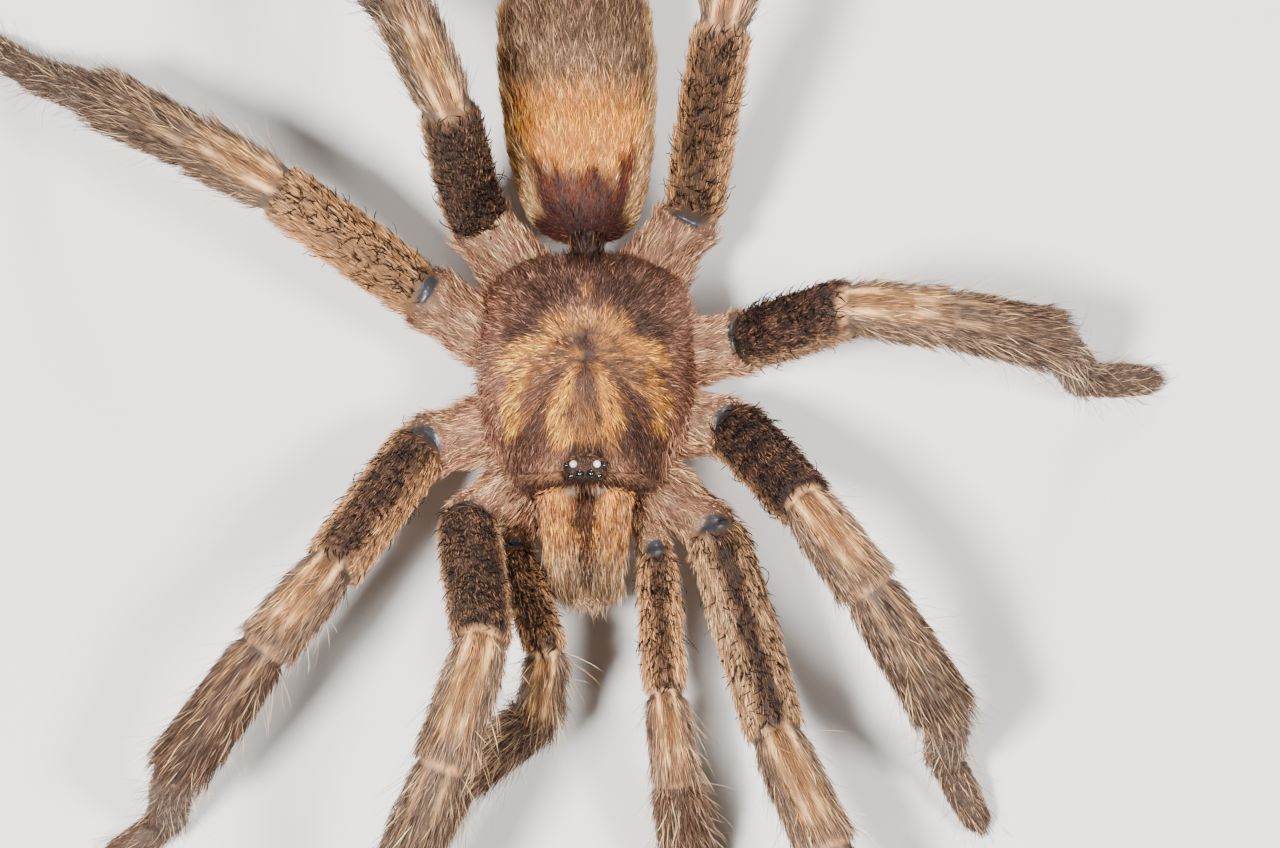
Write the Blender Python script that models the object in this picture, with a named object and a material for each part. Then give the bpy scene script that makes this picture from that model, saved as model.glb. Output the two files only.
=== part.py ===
"""A life-size museum model of a small tarantula, standing still.

The spider faces -Y with its left side towards +X, and stands on the floor at z = 0.
Each solid reaches to the tips of the coat that lies on it.
"""

import math

import bmesh
import bpy
from mathutils import Vector

MM = 0.001

# Driving sizes, in millimetres.
CARAPACE_LENGTH = 13.0
CARAPACE_FRONT = -7.1        # y of the edge above the fangs
ABDOMEN_START = 6.75         # y of the flat that meets the waist
ABDOMEN_LENGTH = 16.95
ABDOMEN_SWAY = (-0.10, -0.045)    # sideways offset at its front, and drift per millimetre behind it
JOINT_GAP = 0.12             # the thin cut that parts two pieces
PAD_HEIGHT = 0.50            # middle of a toe above the floor
SOLE = 0.32                  # an underside closer than this is pressed flat on the floor

LIMB_SIDES = 11
TRUNK_SIDES = 24
ABDOMEN_SIDES = 20

# Lengths of femur, patella, tibia, metatarsus and tarsus, in carapace lengths.
LEG_LENGTHS = {
    1: (0.92, 0.50, 0.68, 0.58, 0.42),
    2: (0.78, 0.43, 0.61, 0.53, 0.35),
    3: (0.72, 0.38, 0.52, 0.56, 0.34),
    4: (0.86, 0.43, 0.66, 0.80, 0.42),
}
PALP_LENGTHS = (0.61, 0.34, 0.45, 0.36)

# Half thickness of each length of a limb with its coat, in millimetres.
LEG_GIRTHS = (1.70, 1.62, 1.68, 1.28, 1.08)
PALP_GIRTHS = (1.20, 1.26, 1.42, 1.10)
COXA_GIRTHS = {1: 1.62, 2: 1.84, 3: 1.90, 4: 1.92}
PALP_COXA_GIRTH = 1.0

# How thick a length of limb is along itself: place, share of its girth.
SWELL = ((0.0, 0.95), (0.12, 1.0), (0.38, 1.03), (0.66, 1.01), (0.88, 1.0), (1.0, 0.93))
SHORT_SWELL = ((0.0, 0.88), (0.16, 0.97), (0.5, 1.02), (0.84, 1.03), (1.0, 0.93))
SHANK_SWELL = ((0.0, 0.90), (0.2, 1.0), (0.6, 0.96), (1.0, 0.92))
TOE_SWELL = ((0.0, 0.98), (0.35, 1.02), (0.7, 0.96), (0.9, 0.78), (1.0, 0.40))

# Stance of each limb: the outer end of its coxa, then the yaw and pitch in degrees
# of each length in turn. A tarsus has only a yaw, because its pitch puts the toe down.
LEG_STANCE = {
    (1, "left"): ((6.6, -8.6, 6.0), (-76, 14), (-68, 8), (-69, -17), (-69, -49), -69),
    (1, "right"): ((-5.95, -8.1, 6.1), (-83, 44), (-106, 4), (-114, -36), (-114, -62), -114),
    (2, "left"): ((7.55, -3.1, 6.0), (-62, 46), (-57, 10), (-53, -34), (-50, -88), -58),
    (2, "right"): ((-8.35, -4.05, 6.0), (-118, 29), (-125, 12), (-131, -30), (-141, -80), -145),
    (3, "left"): ((8.3, 1.6, 6.0), (-12, 59), (-1, -15), (1, -33), (4, -73), 8),
    (3, "right"): ((-8.4, 4.15, 6.0), (151, 29), (148, -7), (146, -20), (140, -46), 139),
    (4, "left"): ((5.4, 8.4, 6.0), (78, 51), (78, -1), (78, -32), (78, -49), 78),
    (4, "right"): ((-5.7, 8.2, 6.0), (122, 80), (113, 2), (114, -44), (114, -58), 114),
}
PALP_STANCE = {
    "left": ((3.55, -9.25, 5.0), (-87, 10), (-83, -6), (-83, -42), -83),
    "right": ((-3.70, -9.2, 4.65), (-74, 33), (-100, -60), (-150, -41), -118),
}
COXA_ROOTS = {1: (2.3, -4.5, 4.6), 2: (2.8, -2.0, 4.5), 3: (2.8, 0.9, 4.5), 4: (2.2, 3.9, 4.7)}
PALP_COXA_ROOT = (2.2, -5.4, 3.9)

# Front to back of the trunk: place, half width, back, rim and belly heights.
TRUNK = (
    (0.00, 2.85, 9.00, 7.60, 6.30),
    (0.04, 3.35, 9.75, 7.30, 5.00),
    (0.12, 3.85, 10.15, 7.00, 3.90),
    (0.20, 4.35, 10.35, 6.85, 3.45),
    (0.28, 4.95, 10.40, 6.75, 3.20),
    (0.40, 5.35, 10.15, 6.70, 3.00),
    (0.58, 5.46, 9.65, 6.65, 3.05),
    (0.76, 5.32, 9.30, 6.65, 3.40),
    (0.87, 4.90, 8.85, 6.70, 4.00),
    (0.93, 4.10, 8.40, 6.72, 4.50),
    (0.97, 3.05, 8.00, 6.76, 5.00),
    (1.00, 1.70, 7.60, 6.80, 5.60),
)
# Front to back of the abdomen: place, half width, back and belly heights.
ABDOMEN = (
    (0.00, 1.15, 7.70, 5.50),
    (0.02, 1.80, 8.25, 4.90),
    (0.055, 2.60, 8.85, 4.10),
    (0.10, 3.08, 9.25, 3.50),
    (0.17, 3.45, 9.60, 3.00),
    (0.28, 3.78, 9.80, 2.70),
    (0.42, 3.98, 9.92, 2.55),
    (0.56, 4.10, 9.95, 2.50),
    (0.70, 4.00, 9.75, 2.70),
    (0.82, 3.45, 9.25, 3.20),
    (0.91, 2.60, 8.60, 3.90),
    (0.97, 1.65, 7.90, 4.70),
    (1.00, 0.70, 7.10, 5.60),
)
# Front to back of a fang base: place, half width, half height.
CHELICERA = (
    (0.00, 1.16, 1.35),
    (0.08, 1.25, 1.52),
    (0.30, 1.21, 1.60),
    (0.50, 1.15, 1.58),
    (0.66, 1.08, 1.48),
    (0.80, 0.93, 1.28),
    (0.91, 0.68, 0.94),
    (1.00, 0.34, 0.50),
)
CHELICERA_HEIGHT = 7.35      # middle of its root
CHELICERA_LENGTH = 4.7
CHELICERA_DROP = 1.35        # how far its front hangs below its root

FANG_ROOT = (1.05, -11.1, 4.5)
FANG_SWEEP = 2.6             # radius of the fang's curve
FANG_GIRTHS = (0.42, 0.40, 0.36, 0.31, 0.26, 0.20)

TUBERCLE = (0.0, -6.42, 9.9)
TUBERCLE_HALF = (1.13, 0.76, 0.62)
PIT = (0.0, -0.32, 9.95)      # the pit in the middle of the carapace
PIT_HALF = (0.55, 0.30, 0.42)
# Each pair of eyes: sideways, y, height and radius.
EYES = {
    "front_median": (0.29, -6.82, 10.31, 0.24),
    "front_side": (0.71, -6.84, 10.05, 0.20),
    "rear_median": (0.585, -6.34, 10.39, 0.19),
    "rear_side": (0.93, -6.32, 10.16, 0.16),
}
SOCKET_CLEARANCE = 0.05

SPINNERET_ROOT = (0.62, 23.2, 6.35)
SPINNERET_GIRTHS = ((0.0, 0.42), (0.30, 0.46), (0.36, 0.38), (0.64, 0.40), (0.70, 0.32), (1.0, 0.20))
SPINNERET_LENGTH = 3.1

COLOURS = {
    "carapace": ((0.20, 0.11, 0.06, 1.0), 0.75),
    "abdomen": ((0.17, 0.10, 0.06, 1.0), 0.80),
    "fang base": ((0.33, 0.19, 0.10, 1.0), 0.70),
    "femur": ((0.09, 0.05, 0.035, 1.0), 0.75),
    "patella": ((0.26, 0.19, 0.13, 1.0), 0.75),
    "tibia": ((0.24, 0.18, 0.13, 1.0), 0.75),
    "foot": ((0.20, 0.15, 0.11, 1.0), 0.80),
    "fang": ((0.03, 0.012, 0.008, 1.0), 0.25),
    "dark eye": ((0.005, 0.005, 0.006, 1.0), 0.05),
    "pale eye": ((0.55, 0.53, 0.48, 1.0), 0.15),
}


def finish(name, colour):
    """Principled material for one sub-part."""
    base, roughness = COLOURS[colour]
    material = bpy.data.materials.new(name)
    material.use_nodes = True
    shader = material.node_tree.nodes["Principled BSDF"]
    shader.inputs["Base Color"].default_value = base
    shader.inputs["Roughness"].default_value = roughness
    shader.inputs["Metallic"].default_value = 0.0
    return material


def new_collection(name):
    """Collection under the scene's own."""
    collection = bpy.data.collections.new(name)
    bpy.context.scene.collection.children.link(collection)
    return collection


def make_object(name, bm, colour, collection):
    """Closed mesh from bm, facing outwards and shaded smooth, under the given name."""
    bmesh.ops.recalc_face_normals(bm, faces=bm.faces[:])
    mesh = bpy.data.meshes.new(name)
    bm.to_mesh(mesh)
    bm.free()
    mesh.shade_smooth()
    mesh.set_sharp_from_angle(angle=math.radians(50))
    mesh.materials.append(finish(name, colour))
    thing = bpy.data.objects.new(name, mesh)
    collection.objects.link(thing)
    return thing


def loft(name, rings, colour, collection):
    """Skin a list of rings and close both ends with flat faces."""
    bm = bmesh.new()
    layers = [[bm.verts.new(Vector(point) * MM) for point in ring] for ring in rings]
    count = len(layers[0])
    for near, far in zip(layers, layers[1:]):
        for i in range(count):
            j = (i + 1) % count
            bm.faces.new((near[i], near[j], far[j], far[i]))
    bm.faces.new(layers[0])
    bm.faces.new(layers[-1])
    return make_object(name, bm, colour, collection)


def ball(name, centre, half, colour, collection, segments=8, rings=6):
    """Ellipsoid of the given half sizes."""
    bm = bmesh.new()
    bmesh.ops.create_uvsphere(bm, u_segments=segments, v_segments=rings, radius=1.0)
    for vertex in bm.verts:
        vertex.co = Vector(centre) * MM + Vector(c * h * MM for c, h in zip(vertex.co, half))
    return make_object(name, bm, colour, collection)


def around(count):
    """Angles of the points of one ring."""
    return [2 * math.pi * i / count for i in range(count)]


def direction(yaw, pitch):
    """Unit vector for a yaw about +Z and a pitch above the floor, in degrees."""
    yaw, pitch = math.radians(yaw), math.radians(pitch)
    return Vector((math.cos(yaw) * math.cos(pitch), math.sin(yaw) * math.cos(pitch), math.sin(pitch)))


def pitch_to_height(start, goal, length):
    """Pitch that takes a length of limb from one height down to another."""
    return math.degrees(math.asin(max(-1.0, min(1.0, (goal - start) / length))))


def limb_axes(stance, shares):
    """Joints of a limb, with the yaw and pitch of each length between them."""
    joints, turns = [Vector(stance[0])], []
    for step, share in zip(stance[1:], shares):
        length = share * CARAPACE_LENGTH
        if isinstance(step, tuple):
            yaw, pitch = step
        else:
            yaw, pitch = step, pitch_to_height(joints[-1].z, PAD_HEIGHT, length)
        turns.append((yaw, pitch))
        joints.append(joints[-1] + direction(yaw, pitch) * length)
    return joints, turns


def yaw_pitch(vector):
    """Yaw and pitch of a vector, in degrees."""
    flat = math.hypot(vector.x, vector.y)
    return math.degrees(math.atan2(vector.y, vector.x)), math.degrees(math.atan2(vector.z, flat))


def limb_rings(start, end, turn, swell, girth, cut_in, cut_out, gap_in, gap_out):
    """Rings of one length of limb, sheared at both ends to lie in the joint planes."""
    along = direction(*turn)
    yaw = math.radians(turn[0])
    side = Vector((math.sin(yaw), -math.cos(yaw), 0.0))
    up = side.cross(along)
    rings = []
    for place, share in swell:
        ring = []
        for angle in around(LIMB_SIDES):
            reach = (side * math.cos(angle) + up * 1.04 * math.sin(angle)) * girth * share
            back = (cut_in * gap_in - reach).dot(cut_in) / along.dot(cut_in)
            fore = (cut_out * -gap_out - reach).dot(cut_out) / along.dot(cut_out)
            slide = back * (1 - place) ** 2 + fore * place ** 2
            point = start.lerp(end, place) + reach + along * slide
            ring.append(Vector((point.x, point.y, point.z if point.z > SOLE else 0.0)))
        rings.append(ring)
    return rings


def make_limb(prefix, stance, shares, girths, pieces, entry, body):
    """One limb from its femur outwards. Each piece: name, colour, lengths and swells."""
    joints, turns = limb_axes(stance, shares)
    ways = [entry] + [direction(*turn) for turn in turns]
    cuts = [(a + b).normalized() for a, b in zip(ways, ways[1:])] + [ways[-1]]
    half_gap = JOINT_GAP / 2
    made = []
    for part, colour, lengths, swells in pieces:
        rings = []
        for i, swell in zip(lengths, swells):
            first, last = i == lengths[0], i == lengths[-1]
            some = limb_rings(
                joints[i], joints[i + 1], turns[i], swell, girths[i], cuts[i], cuts[i + 1],
                half_gap if first else 0.0, half_gap if last and i + 1 < len(turns) else 0.0)
            rings += some if first else some[1:]
        made.append(loft(f"{prefix}_{part}", rings, colour, body))
    return made


def make_coxa(name, root, stance, girth, collection):
    """Coxa and trochanter of one limb, from inside the trunk to the femur's joint."""
    start, end = Vector(root), Vector(stance[0])
    turn = yaw_pitch(end - start)
    entry = direction(*turn)
    cut = (entry + direction(*stance[1])).normalized()
    swell = ((0.0, 1.0), (0.45, 1.05), (0.72, 0.91), (0.88, 0.98), (1.0, 0.86))
    rings = limb_rings(start, end, turn, swell, girth, entry, cut, 0.0, JOINT_GAP / 2)
    return loft(name, rings, "carapace", collection), entry


def trunk_ring(y, half_width, back, rim, belly):
    """Section of the trunk: a domed shell over a narrower breast plate."""
    ring = []
    for angle in around(TRUNK_SIDES):
        across, rise = math.cos(angle), math.sin(angle)
        if rise >= 0:
            x = half_width * math.copysign(abs(across) ** 0.85, across)
            z = rim + (back - rim) * rise
        else:
            x = half_width * across * (1.0 + 0.42 * rise)
            z = rim + (rim - belly) * rise
        ring.append((x, y, z))
    return ring


def oval_ring(centre, half_width, half_height, count, power=1.0):
    """Upright ring across the spider, squarer where the power is below one."""
    ring = []
    for angle in around(count):
        across, rise = math.cos(angle), math.sin(angle)
        x = half_width * math.copysign(abs(across) ** power, across)
        z = half_height * math.copysign(abs(rise) ** power, rise)
        ring.append((centre[0] + x, centre[1], centre[2] + z))
    return ring


def boolean(body, tool, operation):
    """Join a tool to a body, or take it away, and keep the tool as a hidden cutter."""
    step = body.modifiers.new(tool.name, "BOOLEAN")
    step.operation = operation
    step.solver = "EXACT"
    step.object = tool
    tool.hide_render = True
    tool.display_type = "WIRE"


def make_trunk(body, helpers):
    """Carapace, breast plate, waist, eye mound and the ten coxae in one solid."""
    rings = [trunk_ring(CARAPACE_FRONT + place * CARAPACE_LENGTH, *sizes) for place, *sizes in TRUNK]
    trunk = loft("prosoma", rings, "carapace", body)
    waist_end = ABDOMEN_START - JOINT_GAP
    waist = [oval_ring((0, y, 6.7), 0.95, 0.95, 12) for y in (4.6, waist_end)]
    boolean(trunk, loft("waist_tool", waist, "carapace", helpers), "UNION")
    mound = ball("mound_tool", TUBERCLE, TUBERCLE_HALF, "carapace", helpers, 16, 8)
    boolean(trunk, mound, "UNION")
    boolean(trunk, ball("pit_tool", PIT, PIT_HALF, "carapace", helpers), "DIFFERENCE")
    entries = {}
    for (pair, hand), stance in LEG_STANCE.items():
        x, y, z = COXA_ROOTS[pair]
        root = (x if hand == "left" else -x, y, z)
        tool, entries[pair, hand] = make_coxa(
            f"coxa_{pair}_{hand}_tool", root, stance, COXA_GIRTHS[pair], helpers)
        boolean(trunk, tool, "UNION")
    for hand, stance in PALP_STANCE.items():
        x, y, z = PALP_COXA_ROOT
        root = (x if hand == "left" else -x, y, z)
        tool, entries["palp", hand] = make_coxa(
            f"coxa_palp_{hand}_tool", root, stance, PALP_COXA_GIRTH, helpers)
        boolean(trunk, tool, "UNION")
    return trunk, entries


def make_eyes(trunk, body, helpers):
    """Eight eyes, each a bead in its own socket."""
    made = []
    for row, (x, y, z, radius) in EYES.items():
        colour = "pale eye" if row == "rear_median" else "dark eye"
        for hand, sign in (("left", 1), ("right", -1)):
            made.append(ball(f"eye_{row}_{hand}", (sign * x, y, z), (radius,) * 3, colour, body))
            room = (radius + SOCKET_CLEARANCE,) * 3
            socket = ball(f"socket_{row}_{hand}_tool", (sign * x, y, z), room, colour, helpers)
            boolean(trunk, socket, "DIFFERENCE")
    return made


def make_chelicerae(body):
    """The two bristly bases that carry the fangs, side by side."""
    made = []
    front = CARAPACE_FRONT - JOINT_GAP
    for hand, sign in (("left", 1), ("right", -1)):
        rings = []
        for place, half_width, half_height in CHELICERA:
            x = sign * (half_width + 0.5 * JOINT_GAP)
            sag = CHELICERA_DROP * place ** 1.5
            centre = (x, front - place * CHELICERA_LENGTH, CHELICERA_HEIGHT - sag)
            rings.append(oval_ring(centre, half_width, half_height, 16, 0.85))
        made.append(loft(f"chelicera_{hand}", rings, "fang base", body))
    return made


def make_fangs(body):
    """Two fangs folded back under their bases."""
    made = []
    last = len(FANG_GIRTHS) - 1
    for hand, sign in (("left", 1), ("right", -1)):
        rings = []
        for i, girth in enumerate(FANG_GIRTHS):
            turn = math.radians(78 * i / last)
            y = FANG_ROOT[1] + FANG_SWEEP * (1 - math.cos(turn))
            z = FANG_ROOT[2] - FANG_SWEEP * 0.62 * math.sin(turn)
            over, rise = Vector((sign, 0, 0)), Vector((0, -math.cos(turn), -math.sin(turn)))
            centre = Vector((sign * (FANG_ROOT[0] - 0.05 * i), y, z))
            rings.append([centre + girth * (over * math.cos(a) + rise * math.sin(a)) for a in around(8)])
        made.append(loft(f"fang_{hand}", rings, "fang", body))
    return made


def abdomen_middle(y):
    """x of the abdomen's middle line, which leans a little to the spider's right."""
    return ABDOMEN_SWAY[0] + ABDOMEN_SWAY[1] * (y - ABDOMEN_START)


def make_abdomen(body):
    """Long rounded abdomen, cut flat where it meets the waist."""
    rings = []
    for place, half_width, back, belly in ABDOMEN:
        y = ABDOMEN_START + place * ABDOMEN_LENGTH
        centre = (abdomen_middle(y), y, (back + belly) / 2)
        rings.append(oval_ring(centre, half_width, (back - belly) / 2, ABDOMEN_SIDES, 0.92))
    return loft("abdomen", rings, "abdomen", body)


def make_spinnerets(abdomen, body, helpers):
    """Two jointed spinnerets at the tail, each seated in a shallow socket."""
    made = []
    for hand, sign in (("left", 1), ("right", -1)):
        along = direction(92.5 - sign * 12, 16)
        side = along.cross(Vector((0, 0, 1))).normalized()
        up = side.cross(along)
        middle = abdomen_middle(SPINNERET_ROOT[1])
        root = Vector((middle + sign * SPINNERET_ROOT[0], SPINNERET_ROOT[1], SPINNERET_ROOT[2]))

        def rings(extra):
            some = []
            for place, girth in SPINNERET_GIRTHS:
                centre = root + along * (SPINNERET_LENGTH * place - extra)
                some.append([centre + (girth + extra) * (side * math.cos(a) + up * math.sin(a))
                             for a in around(8)])
            return some
        made.append(loft(f"spinneret_{hand}", rings(0.0), "abdomen", body))
        boolean(abdomen, loft(f"spinneret_{hand}_tool", rings(0.08), "abdomen", helpers), "DIFFERENCE")
    return made


def make_legs(entries, body):
    """Eight legs of four pieces and two palps of three."""
    leg_pieces = (
        ("femur", "femur", (0,), (SWELL,)),
        ("patella", "patella", (1,), (SHORT_SWELL,)),
        ("tibia", "tibia", (2,), (SHORT_SWELL,)),
        ("foot", "foot", (3, 4), (SHANK_SWELL, TOE_SWELL)),
    )
    palp_pieces = (
        ("femur", "femur", (0,), (SHORT_SWELL,)),
        ("patella", "patella", (1,), (SHORT_SWELL,)),
        ("tip", "foot", (2, 3), (SHANK_SWELL, TOE_SWELL)),
    )
    made = []
    for (pair, hand), stance in LEG_STANCE.items():
        made += make_limb(f"leg_{pair}_{hand}", stance, LEG_LENGTHS[pair], LEG_GIRTHS,
                          leg_pieces, entries[pair, hand], body)
    for hand, stance in PALP_STANCE.items():
        made += make_limb(f"palp_{hand}", stance, PALP_LENGTHS, PALP_GIRTHS,
                          palp_pieces, entries["palp", hand], body)
    return made


def centre_on_floor(things):
    """Move the whole spider so that its box stands centred on the origin."""
    bpy.context.view_layer.update()
    depsgraph = bpy.context.evaluated_depsgraph_get()
    corners = []
    for thing in things:
        shape = thing.evaluated_get(depsgraph).to_mesh()
        corners += [vertex.co.copy() for vertex in shape.vertices]
    middle = [(min(c[i] for c in corners) + max(c[i] for c in corners)) / 2 for i in (0, 1)]
    floor = min(c.z for c in corners)
    for thing in bpy.data.objects:
        thing.location = (-middle[0], -middle[1], -floor)


def main():
    for old in list(bpy.data.objects):
        bpy.data.objects.remove(old, do_unlink=True)
    body, helpers = new_collection("tarantula"), new_collection("cutters")
    trunk, entries = make_trunk(body, helpers)
    things = [trunk] + make_eyes(trunk, body, helpers) + make_chelicerae(body) + make_fangs(body)
    abdomen = make_abdomen(body)
    things += [abdomen] + make_spinnerets(abdomen, body, helpers) + make_legs(entries, body)
    centre_on_floor(things)


main()
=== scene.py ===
"""Skin, coat, eyes, fangs and claws of a small tarantula that stands still.

Body sizes are in millimetres in the spider's own axes: it faces -Y, its left side is +X
and the floor is z = 0. SHIFT and MM take them to the frame's place and to metres.
"""
import math

import bpy
import numpy as np
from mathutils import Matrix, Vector, kdtree
from mathutils.bvhtree import BVHTree


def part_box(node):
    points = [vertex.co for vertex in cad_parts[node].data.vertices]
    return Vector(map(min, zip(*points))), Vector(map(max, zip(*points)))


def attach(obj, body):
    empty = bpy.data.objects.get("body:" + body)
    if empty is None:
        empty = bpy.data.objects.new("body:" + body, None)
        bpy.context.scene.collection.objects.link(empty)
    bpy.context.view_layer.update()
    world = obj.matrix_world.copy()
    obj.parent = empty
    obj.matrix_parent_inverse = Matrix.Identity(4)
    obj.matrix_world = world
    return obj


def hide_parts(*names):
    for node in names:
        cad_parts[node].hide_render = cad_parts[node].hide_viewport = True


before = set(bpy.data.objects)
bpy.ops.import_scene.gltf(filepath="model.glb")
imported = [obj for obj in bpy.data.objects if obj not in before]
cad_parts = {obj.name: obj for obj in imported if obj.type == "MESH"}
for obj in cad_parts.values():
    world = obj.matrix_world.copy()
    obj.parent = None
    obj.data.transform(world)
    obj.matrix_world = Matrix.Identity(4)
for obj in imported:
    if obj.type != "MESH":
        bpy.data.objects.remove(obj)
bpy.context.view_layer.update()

MM = 0.001
SEED = 20

# ---------------------------------------------------------------- sizes of the body
CARAPACE_LENGTH = 13.0
CARAPACE_FRONT = -7.1
ABDOMEN_START = 6.75
ABDOMEN_LENGTH = 16.95
ABDOMEN_SWAY = (-0.10, -0.045)
PAD_HEIGHT = 0.50
FOVEA = (0.0, -0.32)

LEG_LENGTHS = {
    1: (0.92, 0.50, 0.68, 0.58, 0.42),
    2: (0.78, 0.43, 0.61, 0.53, 0.35),
    3: (0.72, 0.38, 0.52, 0.56, 0.34),
    4: (0.86, 0.43, 0.66, 0.80, 0.42),
}
PALP_LENGTHS = (0.61, 0.34, 0.45, 0.36)
COXA_GIRTHS = {1: 1.62, 2: 1.84, 3: 1.90, 4: 1.92}
LEG_GIRTHS = (1.70, 1.62, 1.68, 1.28, 1.08)
PALP_COXA_GIRTH = 1.0
PALP_GIRTHS = (1.20, 1.26, 1.42, 1.10)
COXA_SWELL = ((0.0, 1.0), (0.45, 1.05), (0.72, 0.91), (0.88, 0.98), (1.0, 0.90))
LONG_SWELL = ((0.0, 0.95), (0.12, 1.0), (0.38, 1.03), (0.66, 1.01), (0.88, 1.0), (1.0, 0.93))
SHORT_SWELL = ((0.0, 0.88), (0.16, 0.97), (0.5, 1.02), (0.84, 1.03), (1.0, 0.93))
SHANK_SWELL = ((0.0, 0.90), (0.2, 1.0), (0.6, 0.96), (1.0, 0.92))
TOE_SWELL = ((0.0, 0.98), (0.35, 1.02), (0.7, 0.96), (0.9, 0.82), (1.0, 0.62))

# The outer end of each coxa, then the yaw and pitch of each length in degrees.
# A tarsus has only a yaw, because its pitch puts the toe on the floor.
LEG_STANCE = {
    (1, "left"): ((6.6, -8.6, 6.0), (-76, 14), (-68, 8), (-69, -17), (-69, -49), -69),
    (1, "right"): ((-5.95, -8.1, 6.1), (-83, 44), (-106, 4), (-114, -36), (-114, -62), -114),
    (2, "left"): ((7.55, -3.1, 6.0), (-62, 46), (-57, 10), (-53, -34), (-50, -88), -58),
    (2, "right"): ((-8.35, -4.05, 6.0), (-118, 29), (-125, 12), (-131, -30), (-141, -80), -145),
    (3, "left"): ((8.3, 1.6, 6.0), (-12, 59), (-1, -15), (1, -33), (4, -73), 8),
    (3, "right"): ((-8.4, 4.15, 6.0), (151, 29), (148, -7), (146, -20), (140, -46), 139),
    (4, "left"): ((5.4, 8.4, 6.0), (78, 51), (78, -1), (78, -32), (78, -49), 78),
    (4, "right"): ((-5.7, 8.2, 6.0), (122, 80), (113, 2), (114, -44), (114, -58), 114),
}
PALP_STANCE = {
    "left": ((3.55, -9.25, 5.0), (-87, 10), (-83, -6), (-83, -42), -83),
    "right": ((-3.70, -9.2, 4.65), (-74, 33), (-100, -60), (-150, -41), -118),
}
COXA_ROOTS = {1: (2.3, -4.5, 4.6), 2: (2.8, -2.0, 4.5), 3: (2.8, 0.9, 4.5), 4: (2.2, 3.9, 4.7)}
PALP_COXA_ROOT = (2.2, -5.4, 3.9)

TRUNK = (      # place, half width, back, rim and belly heights
    (0.00, 2.85, 9.00, 7.60, 6.30), (0.04, 3.35, 9.75, 7.30, 5.00), (0.12, 3.85, 10.15, 7.00, 3.90),
    (0.20, 4.35, 10.35, 6.85, 3.45), (0.28, 4.95, 10.40, 6.75, 3.20), (0.40, 5.35, 10.15, 6.70, 3.00),
    (0.58, 5.46, 9.65, 6.65, 3.05), (0.76, 5.32, 9.30, 6.65, 3.40), (0.87, 4.90, 8.85, 6.70, 4.00),
    (0.93, 4.10, 8.40, 6.72, 4.50), (0.97, 3.05, 8.00, 6.76, 5.00), (1.00, 1.70, 7.60, 6.80, 5.60),
)
ABDOMEN = (    # place, half width, back and belly heights
    (0.00, 1.15, 7.70, 5.50), (0.02, 1.80, 8.25, 4.90), (0.055, 2.60, 8.85, 4.10),
    (0.10, 3.08, 9.25, 3.50), (0.17, 3.45, 9.60, 3.00), (0.28, 3.78, 9.80, 2.70),
    (0.42, 3.98, 9.92, 2.55), (0.56, 4.10, 9.95, 2.50), (0.70, 4.00, 9.75, 2.70),
    (0.82, 3.45, 9.25, 3.20), (0.91, 2.60, 8.60, 3.90), (0.97, 1.65, 7.90, 4.70),
    (1.00, 0.70, 7.10, 5.60),
)
CHELICERA = (  # place, half width, half height
    (0.00, 1.16, 1.35), (0.08, 1.25, 1.52), (0.30, 1.21, 1.60),
    (0.50, 1.15, 1.58), (0.66, 1.08, 1.48), (0.80, 0.93, 1.28),
    (0.91, 0.68, 0.94), (1.00, 0.34, 0.50),
)
CHELICERA_HEIGHT, CHELICERA_LENGTH, CHELICERA_DROP = 7.35, 4.7, 1.35
TUBERCLE, TUBERCLE_HALF = (0.0, -6.42, 9.9), (1.13, 0.76, 0.62)
EYES = {
    "front_median": (0.29, -6.82, 10.31, 0.24),
    "front_side": (0.71, -6.84, 10.05, 0.20),
    "rear_median": (0.585, -6.34, 10.39, 0.19),
    "rear_side": (0.93, -6.32, 10.16, 0.16),
}
FANG_ROOT, FANG_SWEEP = (1.05, -11.1, 4.5), 2.6
FANG_GIRTHS = (0.42, 0.40, 0.36, 0.31, 0.26, 0.20)
SPINNERET_ROOT, SPINNERET_LENGTH = (0.62, 23.2, 6.35), 3.1
SPINNERET_GIRTHS = ((0.0, 0.42), (0.30, 0.46), (0.36, 0.38), (0.64, 0.40), (0.70, 0.32), (1.0, 0.20))

# How deep the coat lies over the skin.
LIMB_COAT, TRUNK_COAT, ABDOMEN_COAT, CHELICERA_COAT = 0.27, 0.24, 0.27, 0.22

# Skin under hair is darker than the hair by this share: partly its own darker colour, partly painted
# shade under the coat.
SKIN_SHADE = 0.32
# Size of the soft patches of noise in the markings, in millimetres.
PATCH_SIZE = 1.3
# A root is kept on the skin, or just above it in a fold between two forms, and off the floor.
ROOT_GAP, FOLD_GAP, FOLD_DEPTH, LOWEST_ROOT = 0.02, 0.2, 0.05, 0.2
# Heights above the floor that skin and hair never go under.
LOWEST_SKIN, LOWEST_HAIR = 0.14, 0.03
# Side of each hair's patch on its piece's own map, and the share of the map that the roots fill.
BAKE_PATCH, MAP_SHARE = 0.003, 0.99
# Place of the trunk's front edge on its map.
EDGE_PLACE = 0.004


def spider_shift():
    """Step from the spider's own axes to the frame, read from the place of one eye."""
    low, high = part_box("eye_front_median_left")
    middle = (np.array(low) + np.array(high)) / 2 / MM
    return middle - np.array(EYES["front_median"][:3])


SHIFT = spider_shift()


def to_frame(points):
    """Millimetres in the spider's own axes to metres in the frame."""
    return (np.asarray(points, float) + SHIFT) * MM


# ---------------------------------------------------------------- colours
def srgb(red, green, blue):
    """Linear colour for a display colour of 0 to 255."""
    share = np.array([red, green, blue]) / 255
    return np.where(share <= 0.04045, share / 12.92, ((share + 0.055) / 1.055) ** 2.4)


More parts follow.
